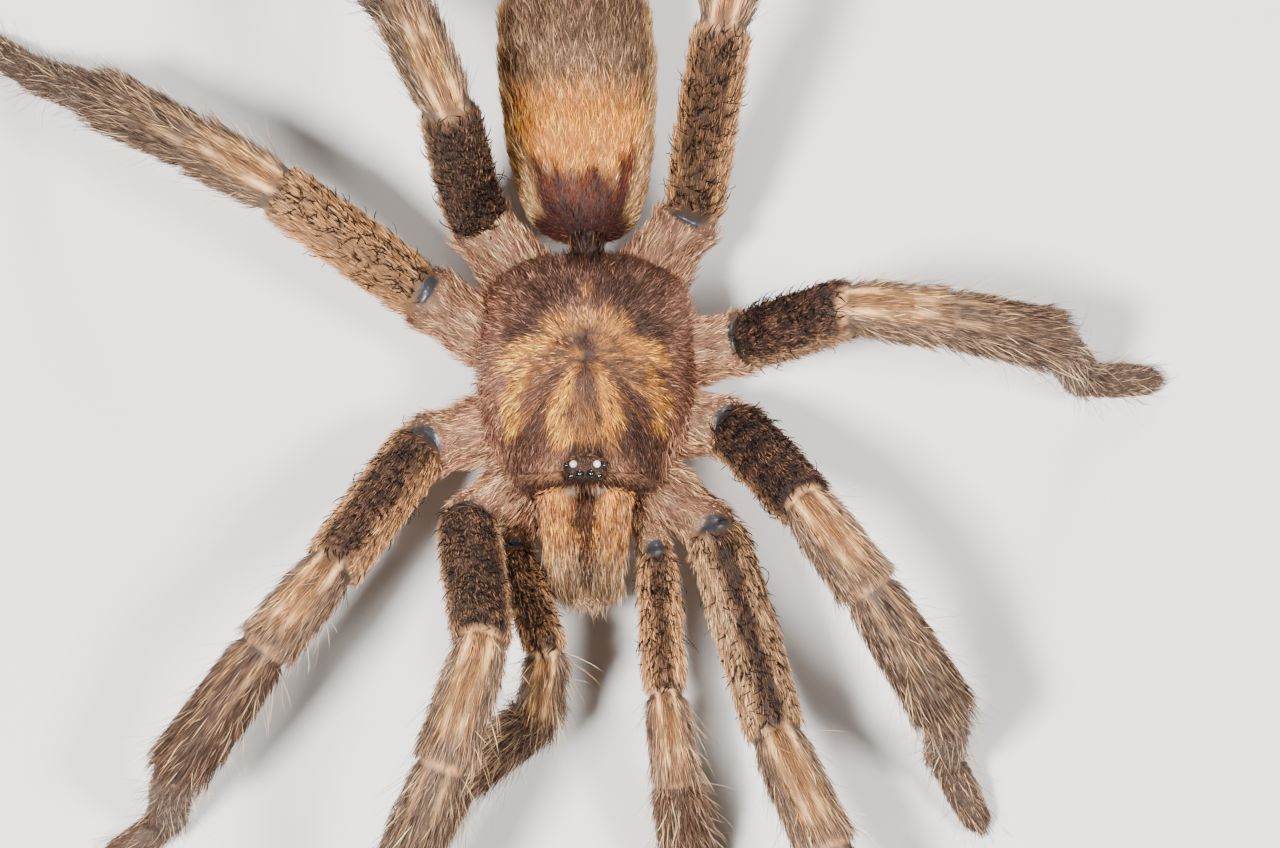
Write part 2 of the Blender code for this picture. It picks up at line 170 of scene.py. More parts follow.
GOLD = srgb(250, 163, 68)
TAN = srgb(192, 130, 76)
PALE_TAN = srgb(206, 158, 112)
CREAM = srgb(238, 196, 140)
MAUVE = srgb(124, 86, 70)
BROWN = srgb(90, 60, 44)
UMBER = srgb(50, 31, 24)
BLACKISH = srgb(30, 20, 17)
RUST = srgb(114, 60, 38)
DARK_TIP = srgb(50, 24, 17)
GREY_TAN = srgb(160, 128, 102)
GREY_BROWN = srgb(126, 98, 78)
PINK_TAN = srgb(190, 132, 100)
SLATE = srgb(74, 73, 77)


# ---------------------------------------------------------------- small helpers
def unit(vectors):
    """Rows scaled to length one."""
    return vectors / np.maximum(np.linalg.norm(vectors, axis=-1, keepdims=True), 1e-12)


def dot(a, b):
    """Row by row dot product, kept as a column."""
    return np.sum(a * b, axis=-1, keepdims=True)


def ease(low, high, value):
    """Smooth step from 0 at low to 1 at high."""
    share = np.clip((value - low) / (high - low), 0.0, 1.0)
    return share * share * (3 - 2 * share)


def mix(first, second, share):
    """Blend of two colours, row by row."""
    share = np.asarray(share)[..., None]
    return first * (1 - share) + second * share


def curve(table, column, place):
    """Smooth curve through one column of a table, with no overshoot."""
    rows = np.array(table, float)
    x, y = rows[:, 0], rows[:, column]
    step, slope = np.diff(x), np.diff(y) / np.diff(x)
    tangent = np.zeros_like(y)
    inner = slope[:-1] * slope[1:]
    mean = 2 * inner / np.where(np.abs(slope[:-1] + slope[1:]) < 1e-9, 1.0, slope[:-1] + slope[1:])
    tangent[1:-1] = np.where(inner > 0, mean, 0.0)
    tangent[0], tangent[-1] = slope[0], slope[-1]
    place = np.clip(place, x[0], x[-1])
    i = np.clip(np.searchsorted(x, place, "right") - 1, 0, len(step) - 1)
    s = (place - x[i]) / step[i]
    return ((2 * s**3 - 3 * s**2 + 1) * y[i] + (s**3 - 2 * s**2 + s) * step[i] * tangent[i]
            + (3 * s**2 - 2 * s**3) * y[i + 1] + (s**3 - s**2) * step[i] * tangent[i + 1])


def each(count, **values):
    """Values of a look, or of roots, with those that are the same all over repeated."""
    colours = ("colour", "other", "plain", "point", "normal", "flow")
    return {key: np.broadcast_to(value, (count, 3) if key in colours else (count,)).astype(float)
            for key, value in values.items()}


def power(value, exponent):
    """Signed power, for squarer or rounder ovals."""
    return np.sign(value) * np.abs(value) ** exponent


def ripple(points, scale, seed):
    """Cheap smooth noise between -1 and 1 from a few sums of waves."""
    rng = np.random.default_rng(seed)
    total = np.zeros(len(points))
    for _ in range(7):
        way = rng.normal(size=3)
        way *= rng.uniform(0.6, 1.7) / (np.linalg.norm(way) * scale)
        total += np.sin(points @ way * 2 * math.pi + rng.uniform(0, 2 * math.pi))
    return total / 4.2


def streaks(angle, place, seed, fewest, most):
    """Noise between -1 and 1 in thin streaks that run outwards along a form."""
    rng = np.random.default_rng(seed)
    total = np.zeros(len(angle))
    for _ in range(9):
        around = rng.integers(fewest, most) * angle
        total += np.sin(around + rng.uniform(-7, 7) * place + rng.uniform(0, 6.28))
    return total / 4.2


def direction(yaw, pitch):
    """Unit vector for a yaw about +Z and a pitch above the floor, in degrees."""
    yaw, pitch = math.radians(yaw), math.radians(pitch)
    return np.array([math.cos(yaw) * math.cos(pitch), math.sin(yaw) * math.cos(pitch), math.sin(pitch)])


# ---------------------------------------------------------------- forms
class Form:
    """A smooth closed shape, given by the place along it (0 to 1) and the angle around it."""

    def __init__(self, name, skin):
        self.name = name
        self.skin = skin

    def at(self, place, angle):
        """Points, outward normals, unit tangents along the form, and area per step."""
        small = 1e-4
        here = self.skin(place, angle)
        along = (self.skin(place + small, angle) - self.skin(place - small, angle)) / (2 * small)
        around = (self.skin(place, angle + small) - self.skin(place, angle - small)) / (2 * small)
        cross = np.cross(along, around)
        size = np.linalg.norm(cross, axis=1)
        normal = unit(cross)
        middle = (self.skin(place, angle) + self.skin(place, angle + math.pi)) / 2
        normal = np.where(dot(normal, here - middle) < 0, -normal, normal)
        return here, normal, unit(along), size


def close_ends(place, first, last):
    """1 along a form, falling to 0 as a round end over the first and last shares of it."""
    head = np.sqrt(np.clip(1 - ((first - np.minimum(place, first)) / first) ** 2, 0, 1))
    tail = np.sqrt(np.clip(1 - ((np.maximum(place, 1 - last) - 1 + last) / last) ** 2, 0, 1))
    return head * tail


def trunk_skin(place, angle):
    """Domed carapace over the narrower breast plate, with its pit and grooves."""
    width = curve(TRUNK, 1, place) - TRUNK_COAT
    rim = curve(TRUNK, 3, place)
    back = curve(TRUNK, 2, place) - TRUNK_COAT - rim
    belly = rim - curve(TRUNK, 4, place) - TRUNK_COAT
    shut = close_ends(place, 0.014, 0.03)
    across, rise = np.cos(angle), np.sin(angle)
    upper = rise >= 0
    x = width * shut * np.where(upper, power(across, 0.85), across * (1 + 0.42 * np.minimum(rise, 0)))
    z = rim + shut * rise * np.where(upper, back, belly)
    y = CARAPACE_FRONT + 0.05 + place * (CARAPACE_LENGTH - 0.1)
    forward, side = FOVEA[1] - y, np.abs(x)
    pit = np.exp(-((side / 0.34) ** 2 + (forward / 0.22) ** 2)) * 0.22
    dip = 0.15 * stroke(side, forward, ((0.3, 0.1), (1.6, 1.1), (3.1, 2.6), (4.4, 3.9)), 0.20, 0.7)
    for start, end in (((0.6, -0.3), (4.6, 0.9)), ((0.5, -0.8), (4.4, -1.9)), ((0.3, -1.0), (2.4, -4.2))):
        dip = dip + 0.07 * stroke(side, forward, (start, end), 0.16, 0.5)
    z = z - np.where(upper, (pit + dip) * np.clip(rise * 1.6, 0, 1), 0)
    return np.stack([x, y, z], axis=1)


def stroke_distance(x, y, line):
    """Distance from points to a bent line."""
    best = np.full(np.shape(x), 1e9)
    for (ax, ay), (bx, by) in zip(line, line[1:]):
        run = (bx - ax) ** 2 + (by - ay) ** 2
        t = np.clip(((x - ax) * (bx - ax) + (y - ay) * (by - ay)) / run, 0, 1)
        best = np.minimum(best, np.hypot(x - ax - t * (bx - ax), y - ay - t * (by - ay)))
    return best


def stroke(x, y, line, half_width, soft):
    """One inside a bent line of some half width, fading to nothing past it."""
    return ease(half_width + soft, half_width - soft * 0.3, stroke_distance(x, y, line))


def abdomen_middle(y):
    """x of the abdomen's middle line."""
    return ABDOMEN_SWAY[0] + ABDOMEN_SWAY[1] * (y - ABDOMEN_START)


def abdomen_skin(place, angle):
    """Long soft bag with faint folds across it."""
    half = curve(ABDOMEN, 1, place) - ABDOMEN_COAT
    back, belly = curve(ABDOMEN, 2, place), curve(ABDOMEN, 3, place)
    tall = (back - belly) / 2 - ABDOMEN_COAT
    shut = close_ends(place, 0.02, 0.02)
    fold = 1 + 0.006 * np.sin(place * 46) * ease(0.1, 0.3, place)
    y = ABDOMEN_START + place * ABDOMEN_LENGTH
    x = half * shut * fold * power(np.cos(angle), 0.92) + abdomen_middle(y)
    z = (back + belly) / 2 + tall * shut * fold * power(np.sin(angle), 0.92)
    return np.stack([x, np.broadcast_to(y, x.shape), z], axis=1)


def chelicera_skin(sign):
    """Skin of one fang base, which touches its neighbour on the inner side."""
    def skin(place, angle):
        half, tall = curve(CHELICERA, 1, place), curve(CHELICERA, 2, place)
        half = half + 0.22 * ease(0.70, 0.95, place)
        shut = close_ends(place, 0.05, 0.12)
        breadth = half - CHELICERA_COAT / 2
        reach = breadth * (0.25 + 0.75 * shut) * power(np.cos(angle), 0.72)
        x = sign * (breadth + 0.01) + reach * (shut > 0)
        z = (CHELICERA_HEIGHT - CHELICERA_DROP * np.abs(place) ** 1.5
             + (tall - CHELICERA_COAT) * shut * power(np.sin(angle), 0.74))
        y = CARAPACE_FRONT + 0.3 - place * (CHELICERA_LENGTH + 0.2)
        return np.stack([x, np.broadcast_to(y, x.shape), z], axis=1)
    return skin


def mound_skin(place, angle):
    """Skin of the eye mound, from its back to its front."""
    y = 1 - 2 * place
    ring = np.sqrt(np.clip(1 - y * y, 0, 1))
    unit_ball = np.stack([ring * np.cos(angle), y, ring * np.sin(angle)], axis=1)
    return unit_ball * (np.array(TUBERCLE_HALF) - 0.05) + TUBERCLE


def waist_skin(place, angle):
    """Narrow waist between the trunk and the abdomen."""
    shut = close_ends(place, 0.2, 0.2)
    x = 0.80 * shut * np.cos(angle)
    z = 6.75 + 0.80 * shut * np.sin(angle)
    return np.stack([x, 4.9 + place * 2.9, z], axis=1)


class Limb(Form):
    """A leg or palp from inside the trunk to its toe, along a line rounded at the joints."""

    def __init__(self, name, root, stance, shares, girths, swells):
        corners = [np.array(root), np.array(stance[0])]
        flat = corners[1] - corners[0]
        yaws = [math.degrees(math.atan2(flat[1], flat[0]))]
        for step, share in zip(stance[1:], shares):
            length = share * CARAPACE_LENGTH
            if isinstance(step, tuple):
                yaw, pitch = step
            else:
                drop = (PAD_HEIGHT - corners[-1][2]) / length
                yaw, pitch = step, math.degrees(math.asin(max(-1.0, min(1.0, drop))))
            yaws.append(yaw)
            corners.append(corners[-1] + direction(yaw, pitch) * length)
        corners = np.array(corners)
        runs = np.linalg.norm(np.diff(corners, axis=0), axis=1)
        self.marks = np.concatenate([[0], np.cumsum(runs)])
        self.reach = self.marks[-1]
        self.lengths = runs
        sides = np.array([[math.sin(math.radians(a)), -math.cos(math.radians(a)), 0] for a in yaws])
        self.line_s = np.linspace(0, self.reach, 700)
        window = np.linspace(-1, 1, 15)
        spread = self.line_s[:, None] + window * 0.85
        ends = np.vstack([corners[0] - (corners[1] - corners[0]) / runs[0] * 2, corners,
                          corners[-1] + (corners[-1] - corners[-2]) / runs[-1] * 2])
        end_marks = np.concatenate([[-2], self.marks, [self.reach + 2]])
        self.centre = np.stack([np.interp(spread, end_marks, ends[:, i]).mean(1) for i in range(3)], 1)
        which = np.clip(np.searchsorted(self.marks, spread, "right") - 1, 0, len(runs) - 1)
        self.side = sides[which].mean(1)
        tangent = unit(np.gradient(self.centre, self.line_s, axis=0))
        self.side = unit(self.side - tangent * dot(self.side, tangent))
        self.up = np.cross(self.side, tangent)
        near = self.line_s[:, None] + window * 0.35
        part = np.clip(np.searchsorted(self.marks, near, "right") - 1, 0, len(runs) - 1)
        local = np.clip((near - self.marks[part]) / runs[part], 0, 1)
        girth = np.zeros_like(local)
        for i, (size, swell) in enumerate(zip(girths, swells)):
            girth = np.where(part == i, size * curve(swell, 1, local), girth)
        self.radius = girth.mean(1) - LIMB_COAT
        for mark in self.marks[1:-1]:
            gap = self.line_s - mark
            self.radius = self.radius - 0.10 * np.exp(-(gap / 0.20) ** 2)
            self.radius = self.radius + 0.05 * np.exp(-((gap + 0.55) / 0.35) ** 2)
        super().__init__(name, self.limb_skin)

    def limb_skin(self, place, angle):
        """Points of the skin round the bent middle line, kept above the floor."""
        s = np.clip(place, 0, 1) * self.reach

        def read(rows):
            return np.stack([np.interp(s, self.line_s, rows[:, i]) for i in range(3)], 1)
        shut = close_ends(place, 0.012, 0.022)
        radius = (np.interp(s, self.line_s, self.radius) * shut)[:, None]
        reach = read(self.side) * np.cos(angle)[:, None] + read(self.up) * 1.04 * np.sin(angle)[:, None]
        point = read(self.centre) + reach * radius
        point[:, 2] = np.maximum(point[:, 2], LOWEST_SKIN)
        return point

    def where(self, place):
        """Which length of the limb a place is in, and how far along it."""
        s = np.clip(place, 0, 1) * self.reach
        part = np.clip(np.searchsorted(self.marks, s, "right") - 1, 0, len(self.lengths) - 1)
        return part, (s - self.marks[part]) / self.lengths[part]

    def from_joint(self, place):
        """Signed distance in millimetres to the nearest joint, and which joint it is."""
        s = (np.clip(place, 0, 1) * self.reach)[:, None]
        gaps = s - self.marks[None, 1:-1]
        nearest = np.argmin(np.abs(gaps), axis=1)
        return gaps[np.arange(len(place)), nearest], nearest + 1


def make_limbs():
    """Every leg and palp by name."""
    leg_swells = (COXA_SWELL, LONG_SWELL, SHORT_SWELL, SHORT_SWELL, SHANK_SWELL, TOE_SWELL)
    palp_swells = (COXA_SWELL, SHORT_SWELL, SHORT_SWELL, SHANK_SWELL, TOE_SWELL)
    limbs = {}
    for (pair, hand), stance in LEG_STANCE.items():
        x, y, z = COXA_ROOTS[pair]
        root = (x if hand == "left" else -x, y, z)
        name = f"leg_{pair}_{hand}"
        girths = (COXA_GIRTHS[pair],) + LEG_GIRTHS
        limbs[name] = Limb(name, root, stance, LEG_LENGTHS[pair], girths, leg_swells)
    for hand, stance in PALP_STANCE.items():
        x, y, z = PALP_COXA_ROOT
        root = (x if hand == "left" else -x, y, z)
        name = f"palp_{hand}"
        girths = (PALP_COXA_GIRTH,) + PALP_GIRTHS
        limbs[name] = Limb(name, root, stance, PALP_LENGTHS, girths, palp_swells)
    return limbs


# ---------------------------------------------------------------- markings
# Femur looks: how dark the middle stripe is, how wide it is, and the colour of the sides.
FEMUR_LOOKS = {
    "leg_1_left": (0.95, 25, PALE_TAN), "leg_1_right": (0.88, 64, BROWN),
    "leg_2_left": (1.00, 80, BROWN), "leg_2_right": (0.95, 36, TAN),
    "leg_3_left": (0.97, 78, BROWN), "leg_3_right": (0.22, 26, TAN),
    "leg_4_left": (0.85, 38, TAN), "leg_4_right": (0.92, 84, BROWN),
    "palp_left": (0.90, 26, TAN), "palp_right": (0.70, 44, TAN),
}
# Limbs whose shins are painted browner than the rest, as painted shadow, and by how much.
SHADOWED_SHINS = {"leg_2_right": 0.65, "palp_left": 0.65}


# Markings of the carapace, in millimetres out from the middle line and forward of the pit.
OUTER_RAY = ((1.9, -1.7), (2.45, -0.8), (3.2, 0.3), (3.75, 1.5), (3.98, 2.7), (3.98, 3.7))
INNER_RAY = ((0.66, 0.9), (1.05, 1.9), (1.38, 2.9), (1.52, 4.0), (1.15, 4.9))
GOLD_STROKES = (    # strength, line, half width, softness
    (0.95, ((3.05, -0.65), (3.7, -0.3), (4.3, 0.2)), 0.40, 0.35),
    (0.85, ((0.0, -2.35), (1.1, -2.2), (1.9, -1.8)), 0.36, 0.40),
    (0.30, ((0.0, -4.1), (0.0, -3.6)), 0.12, 0.3),
)
PARTINGS = (
    (0.80, ((2.9, -0.1), (3.8, 0.55), (4.6, 1.25)), 0.10, 0.22),
    (0.92, ((0.0, -1.35), (0.0, 1.3)), 0.52, 0.35),
    (0.80, ((0.0, 1.0), (0.0, 4.3)), 0.44, 0.40),
    (0.85, ((1.7, 1.3), (2.2, 2.6), (2.75, 4.4)), 0.26, 0.45),
)


def carapace_colour(points, wobble):
    """Gold rays on mauve brown around the pit. Returns colour and how golden it is."""
    forward = FOVEA[1] - points[:, 1]
    ray = np.arctan2(points[:, 0], forward)
    radius = np.hypot(points[:, 0], forward)
    streak = streaks(ray, radius / 6, SEED + 1, 12, 46)
    x = np.abs(points[:, 0]) + 0.10 * wobble + 0.06 * streak
    f = forward + 0.12 * wobble
    colour = mix(MAUVE, BROWN, ease(-0.4, 0.9, wobble + 0.6 * streak))
    blotch = stroke(x, f, ((1.2, -4.0), (2.3, -3.6)), 0.45, 0.6)
    blotch = blotch + stroke(x, f, ((2.9, -2.2), (3.9, -1.5)), 0.5, 0.6)
    colour = mix(colour, UMBER, np.clip(0.75 * blotch, 0, 1))
    edge = np.interp(f, (-1.5, 0.0, 1.2, 2.4, 4.6), (1.6, 2.7, 3.5, 3.9, 3.9))
    fan = ease(edge + 0.1, edge - 0.2, x) * ease(-1.8, -1.3, f) * ease(5.2, 4.6, f)
    dark = mix(BROWN, UMBER, ease(-0.6, 0.4, -streak))
    colour = mix(colour, dark, fan * 0.50)
    gold = fan * (0.04 + 0.62 * ease(0.0, 0.75, streak)) * ease(4.6, 2.2, f)
    wide = 0.16 + 0.16 * ease(0.5, 3.0, f)
    gold = np.maximum(gold, ease(1.7, 0.8, stroke_distance(x, f, OUTER_RAY) / (wide + 0.06)))
    gold = np.maximum(gold, ease(1.5, 0.8, stroke_distance(x, f, INNER_RAY) / (wide + 0.12)))
    for strength, *shape in GOLD_STROKES:
        gold = np.maximum(gold, strength * stroke(x, f, *shape))
    for strength, *shape in PARTINGS:
        gold = gold * (1 - strength * stroke(x, f, *shape))
    gold = np.maximum(gold, 0.30 * stroke(x, f, ((0.0, 3.8), (0.0, 4.9)), 0.40, 0.5))
    gold = gold * (0.76 + 0.24 * ease(-0.7, 0.3, streak))
    pit = stroke(x, f, ((0.0, -1.3), (0.0, 0.9)), 0.42, 0.5)
    colour = mix(colour, mix(DARK_TIP, BROWN, 0.35), 0.75 * pit)
    colour = mix(colour, UMBER, 0.40 * stroke(x, f, ((1.9, 2.0), (2.3, 3.0), (2.85, 4.8)), 0.32, 0.6))
    colour = mix(colour, mix(BROWN, DARK_TIP, 0.2), 0.65 * ease(4.6, 5.5, f))
    colour = mix(colour, GOLD, gold)
    pale = stroke(x, f, ((0.0, -2.5), (0.6, -2.4)), 0.3, 0.5)
    colour = mix(colour, PINK_TAN, 0.5 * pale)
    colour = mix(colour, mix(MAUVE, PINK_TAN, 0.35), 0.9 * ease(4.15, 4.55, x))
    colour = mix(colour, DARK_TIP, 0.75 * ease(1.3, 0.9, x) * ease(-4.9, -5.6, f))
    colour = mix(colour, UMBER, 0.6 * ease(5.0, 5.5, f) * ease(1.7, 1.1, x))
    colour = mix(colour, PINK_TAN, 0.60 * stroke(x, f, ((1.25, 5.9), (2.4, 6.5)), 0.30, 0.5))
    # Dark line along the front edge: partly dark hair, partly painted shadow in the fold over the fang
    # bases.
    colour = mix(colour, DARK_TIP, 0.70 * ease(6.62, 6.78, f + 0.1 * streak))
    around_eyes = np.hypot(points[:, 0] / 1.20, (points[:, 1] - TUBERCLE[1]) / 0.86)
    return mix(UMBER, colour, ease(0.80, 1.15, around_eyes)), gold


def trunk_look(place, angle, points, wobble):
    """Colours and hair of the trunk, which shows its markings at the hair tips."""
    colour, gold = carapace_colour(points + 0.50 * trunk_flow(points), wobble)
    rise = np.sin(angle)
    under = rise < 0.0
    colour = np.where(under[:, None], mix(PINK_TAN, BROWN, np.clip(0.45 + 0.4 * wobble, 0, 1)), colour)
    radius = np.hypot(points[:, 0] - FOVEA[0], points[:, 1] - FOVEA[1])
    length = 0.50 + 0.42 * ease(0.6, 4.0, radius)
    eyes = np.hypot(points[:, 0] / 1.0, (points[:, 1] - TUBERCLE[1]) / 0.72)
    length = length * (0.50 + 0.50 * ease(0.9, 2.0, eyes))
    brow = ease(-6.4, -6.85, points[:, 1])
    edge = ease(0.36, 0.06, np.abs(rise)) * ease(0.03, 0.12, place)
    keep = np.where(eyes < 0.95, 0.1, 1.0 + 2.2 * brow) * np.where(under, 0.30, 1.0) * (1 + edge)
    other = mix(mix(MAUVE, BROWN, 0.5), BROWN, ease(0.2, 0.7, gold))
    return dict(colour=colour, other=other, share=0.15 + 0.12 * gold, length=length * (1 + 0.45 * edge),
                lift=15 + 30 * edge + 10 * ease(1.4, 0.3, radius), keep=keep,
                width=0.0175 - 0.003 * brow)


def mound_look(place, angle, points, wobble):
    """Short hair all over the mound but not on the eyes."""
    count = len(points)
    clear = np.ones(count)
    for x, y, z, radius in EYES.values():
        for sign in (-1, 1):
            gap = np.linalg.norm(points - np.array([sign * x, y, z]), axis=1)
            clear = clear * (gap > radius + 0.05)
    face = ease(-6.60, -6.85, points[:, 1])
    colour = mix(mix(UMBER, mix(BROWN, RUST, 0.3), 0.6), DARK_TIP, 0.75 * face)
    return each(count, colour=colour, other=mix(BROWN, TAN, 0.5), share=0.26 * (1 - 0.8 * face),
                length=0.40 - 0.10 * face, lift=27.0, keep=clear * (1 + 0.5 * face),
                width=0.0145, bald=0.2 * face, plain=DARK_TIP * 0.2)


def waist_look(place, angle, points, wobble):
    """Dark red-brown hair over the waist."""
    return each(len(points), colour=DARK_TIP, other=BROWN, share=0.35, length=1.0, lift=26.0,
                keep=1.0, width=0.020)


def abdomen_look(place, angle, points, wobble):
    """Dark front in scallops, gold band, then grey brown, with flanks painted pale as painted light, for
    hair lit through from behind.
    """
    y = (points[:, 1] - ABDOMEN_START) + 0.30 * wobble
    x = points[:, 0] - abdomen_middle(points[:, 1])
    rise = np.sin(angle)
    streak = streaks(angle, place * 4, SEED + 2, 7, 30)
    gold = ease(2.0, 3.0, y + 0.5 * streak) * ease(7.8, 5.6, y + 0.5 * streak)
    colour = mix(GREY_TAN, GREY_BROWN, ease(7.0, 12.0, y + streak))
    colour = mix(colour, BROWN, 0.35 * ease(-0.1, 0.9, wobble + 0.4 * streak))
    colour = mix(colour, GOLD, gold * (0.72 + 0.28 * ease(-0.5, 0.5, streak)))
    scallop = 2.75 + 1.5 * ease(1.5, 2.9, np.abs(x)) + 0.30 * np.sin(x * 3.4) + 0.35 * streak
    front = ease(scallop + 0.45, scallop - 0.45, y)
    dusk = mix(mix(BROWN, RUST, 0.6), DARK_TIP, 0.75 * ease(-0.5, 0.6, streak))
    colour = mix(colour, dusk * (0.92, 0.76, 0.62), front)
    colour = mix(DARK_TIP * (1.1, 0.8, 0.6), colour, ease(0.45, 1.7, y - 0.15 * np.abs(x)))
    # Pale flanks: painted light, for the hair on the steep sides that is lit through from behind.
    side = ease(0.70, 0.50, rise + 0.06 * wobble + 0.25 * ease(3.0, 8.0, y)) * ease(-0.75, -0.25, rise)
    colour = mix(colour, mix(PALE_TAN, CREAM, 0.35), 0.85 * side * ease(0.6, 1.4, y))
    colour = mix(colour, RUST, 0.5 * ease(13.0, 16.0, y))
    under = ease(-0.25, -0.6, rise)
    colour = mix(colour, mix(BROWN, GREY_BROWN, 0.5), 0.9 * under)
    lungs = stroke(np.abs(x), y, ((1.3, 1.6), (2.0, 2.0)), 0.45, 0.35)
    lungs = lungs + stroke(np.abs(x), y, ((1.3, 3.5), (2.1, 4.0)), 0.45, 0.35)
    colour = mix(colour, PALE_TAN, 0.7 * under * np.clip(lungs, 0, 1))
    colour = colour * (1.0, 0.91, 0.80)
    length = 0.62 + 0.60 * ease(1.0, 7.0, y)
    dark = ease(0.2, 0.8, streaks(angle, place, SEED, 9, 60))
    light = mix(np.tile(PALE_TAN, (len(y), 1)), mix(BROWN, RUST, 0.7), front)
    return dict(colour=colour, other=mix(mix(UMBER, light, dark), colour, 0.35 + 0.4 * gold),
                share=np.full(len(y), 0.20), length=length, lift=15 + 7 * ease(6, 15, y) + 8 * side,
                keep=1 - 0.35 * under, width=np.full(len(y), 0.0175))


def chelicera_look(place, angle, points, wobble):
    """Golden tan bases, dark along the midline, greyer and longer haired at the tips."""
    x = np.abs(points[:, 0])
    deep = place * CHELICERA_LENGTH
    streak = np.sin(points[:, 0] * 17 + 2 * wobble) * 0.5 + np.sin(points[:, 0] * 31 + place * 3) * 0.5
    colour = mix(mix(TAN, BROWN, 0.25), GOLD, ease(-0.5, 0.7, wobble + 0.6 * streak))
    colour = mix(colour, RUST, 0.30 * ease(0.2, 0.9, streak - 0.6 * wobble))
    colour = mix(colour, PINK_TAN, 0.5 * ease(1.6, 2.4, x))
    colour = mix(colour, mix(GREY_BROWN, BROWN, 0.40), 0.92 * ease(0.42, 0.84, place + 0.08 * streak))
    reach = 1.10 - 0.60 * ease(0.1, 0.85, place)
    dark = ease(reach, reach - 1.0, x + 0.20 * streak) * ease(0.95, 0.50, place)
    colour = mix(colour * 1.10, mix(UMBER, BLACKISH, 0.4), 0.92 * dark)
    bald = ease(1.1, 0.5, np.hypot((x - 0.72) / 0.46, (deep - 0.30) / 0.30) + 0.25 * streak)
    bald = bald * ease(0.4, 0.7, np.sin(angle))
    inner = x < 0.30
    length = 0.52 + 0.28 * ease(0.05, 0.22, place) + 0.80 * ease(0.45, 0.95, place)
    # Bald patch by each fang base: bare slate skin, painted pale grey partly as a painted highlight on
    # its gloss.
    plain = mix(colour * SKIN_SHADE, mix(SLATE, GREY_TAN, 0.5) * 1.2, bald)
    return dict(colour=colour, length=length, lift=10 + 8 * place + 30 * inner,
                other=mix(mix(UMBER, RUST, 0.4), mix(CREAM, GREY_TAN, 0.35), ease(0.50, 0.75, place)),
                share=0.24 + 0.22 * ease(1.5, 0.3, x) * ease(0.65, 0.45, place),
                bald=bald, plain=plain, calm=np.full(len(x), 0.45),
                keep=1 - 0.88 * bald, width=0.0175 - 0.003 * place)


def thigh_colour(limb, local, off, streak, wobble):
    """Dark stripe on the thigh's top between paler sides. Returns colour and stripe."""
    darkness, wide, sides = FEMUR_LOOKS[limb.name]
    stripe = ease(wide + 11, wide - 11, off + 5 * streak)
    tone = mix(mix(sides, PALE_TAN, 0.45), BROWN, 0.30 * ease(0.0, 0.8, streak))
    tone = mix(tone, PALE_TAN, 0.45 * ease(0.72, 1.0, local) * (1 - stripe))
    dark = mix(UMBER, BROWN, ease(-0.6, 0.7, wobble + 0.5 * streak))
    tone = mix(tone, dark, darkness * stripe)
    return mix(tone, GREY_BROWN, 0.5 * ease(110, 150, off)), stripe


def shin_colour(knee, shin, upper_shin, shin_shadow, local, turn, streak, wobble):
    """Grey tan knees with a golden top, and greyer shins."""
    off = np.abs(turn) + 7 * wobble
    grey = mix(GREY_TAN, PALE_TAN, 0.30 * ease(-0.3, 0.8, streak))
    grey = mix(grey, BROWN, 0.40 * ease(0.0, 0.9, wobble - 0.3 * streak))
    grey = mix(grey, GREY_BROWN, 0.35 * knee)
    grey = mix(grey, mix(GOLD, TAN, 0.5), 0.62 * ease(40, 30, off) * ease(0.98, 0.5, local) * knee)
    grey = mix(grey, BROWN, 0.40 * ease(11, 5, np.abs(turn)) * ease(0.9, 0.5, local) * knee)
    grey = mix(grey, GREY_BROWN, 0.68 * upper_shin)
    grey = mix(grey, BROWN, 0.40 * ease(90, 150, off))
    # Browner shins on the listed limbs: painted shadow.
    return mix(grey, BROWN, shin_shadow * np.where(shin, 1.0, 0.35))


def foot_colour(shin, shin_shadow, off, streak, wobble):
    """Duller brown towards the toe."""
    low = mix(GREY_BROWN, BROWN, np.clip(0.35 + 0.4 * wobble + 0.3 * streak, 0, 1))
    # Browner on the listed limbs too: painted shadow.
    return mix(mix(low, BROWN, shin_shadow * shin), UMBER, 0.35 * ease(90, 150, off))


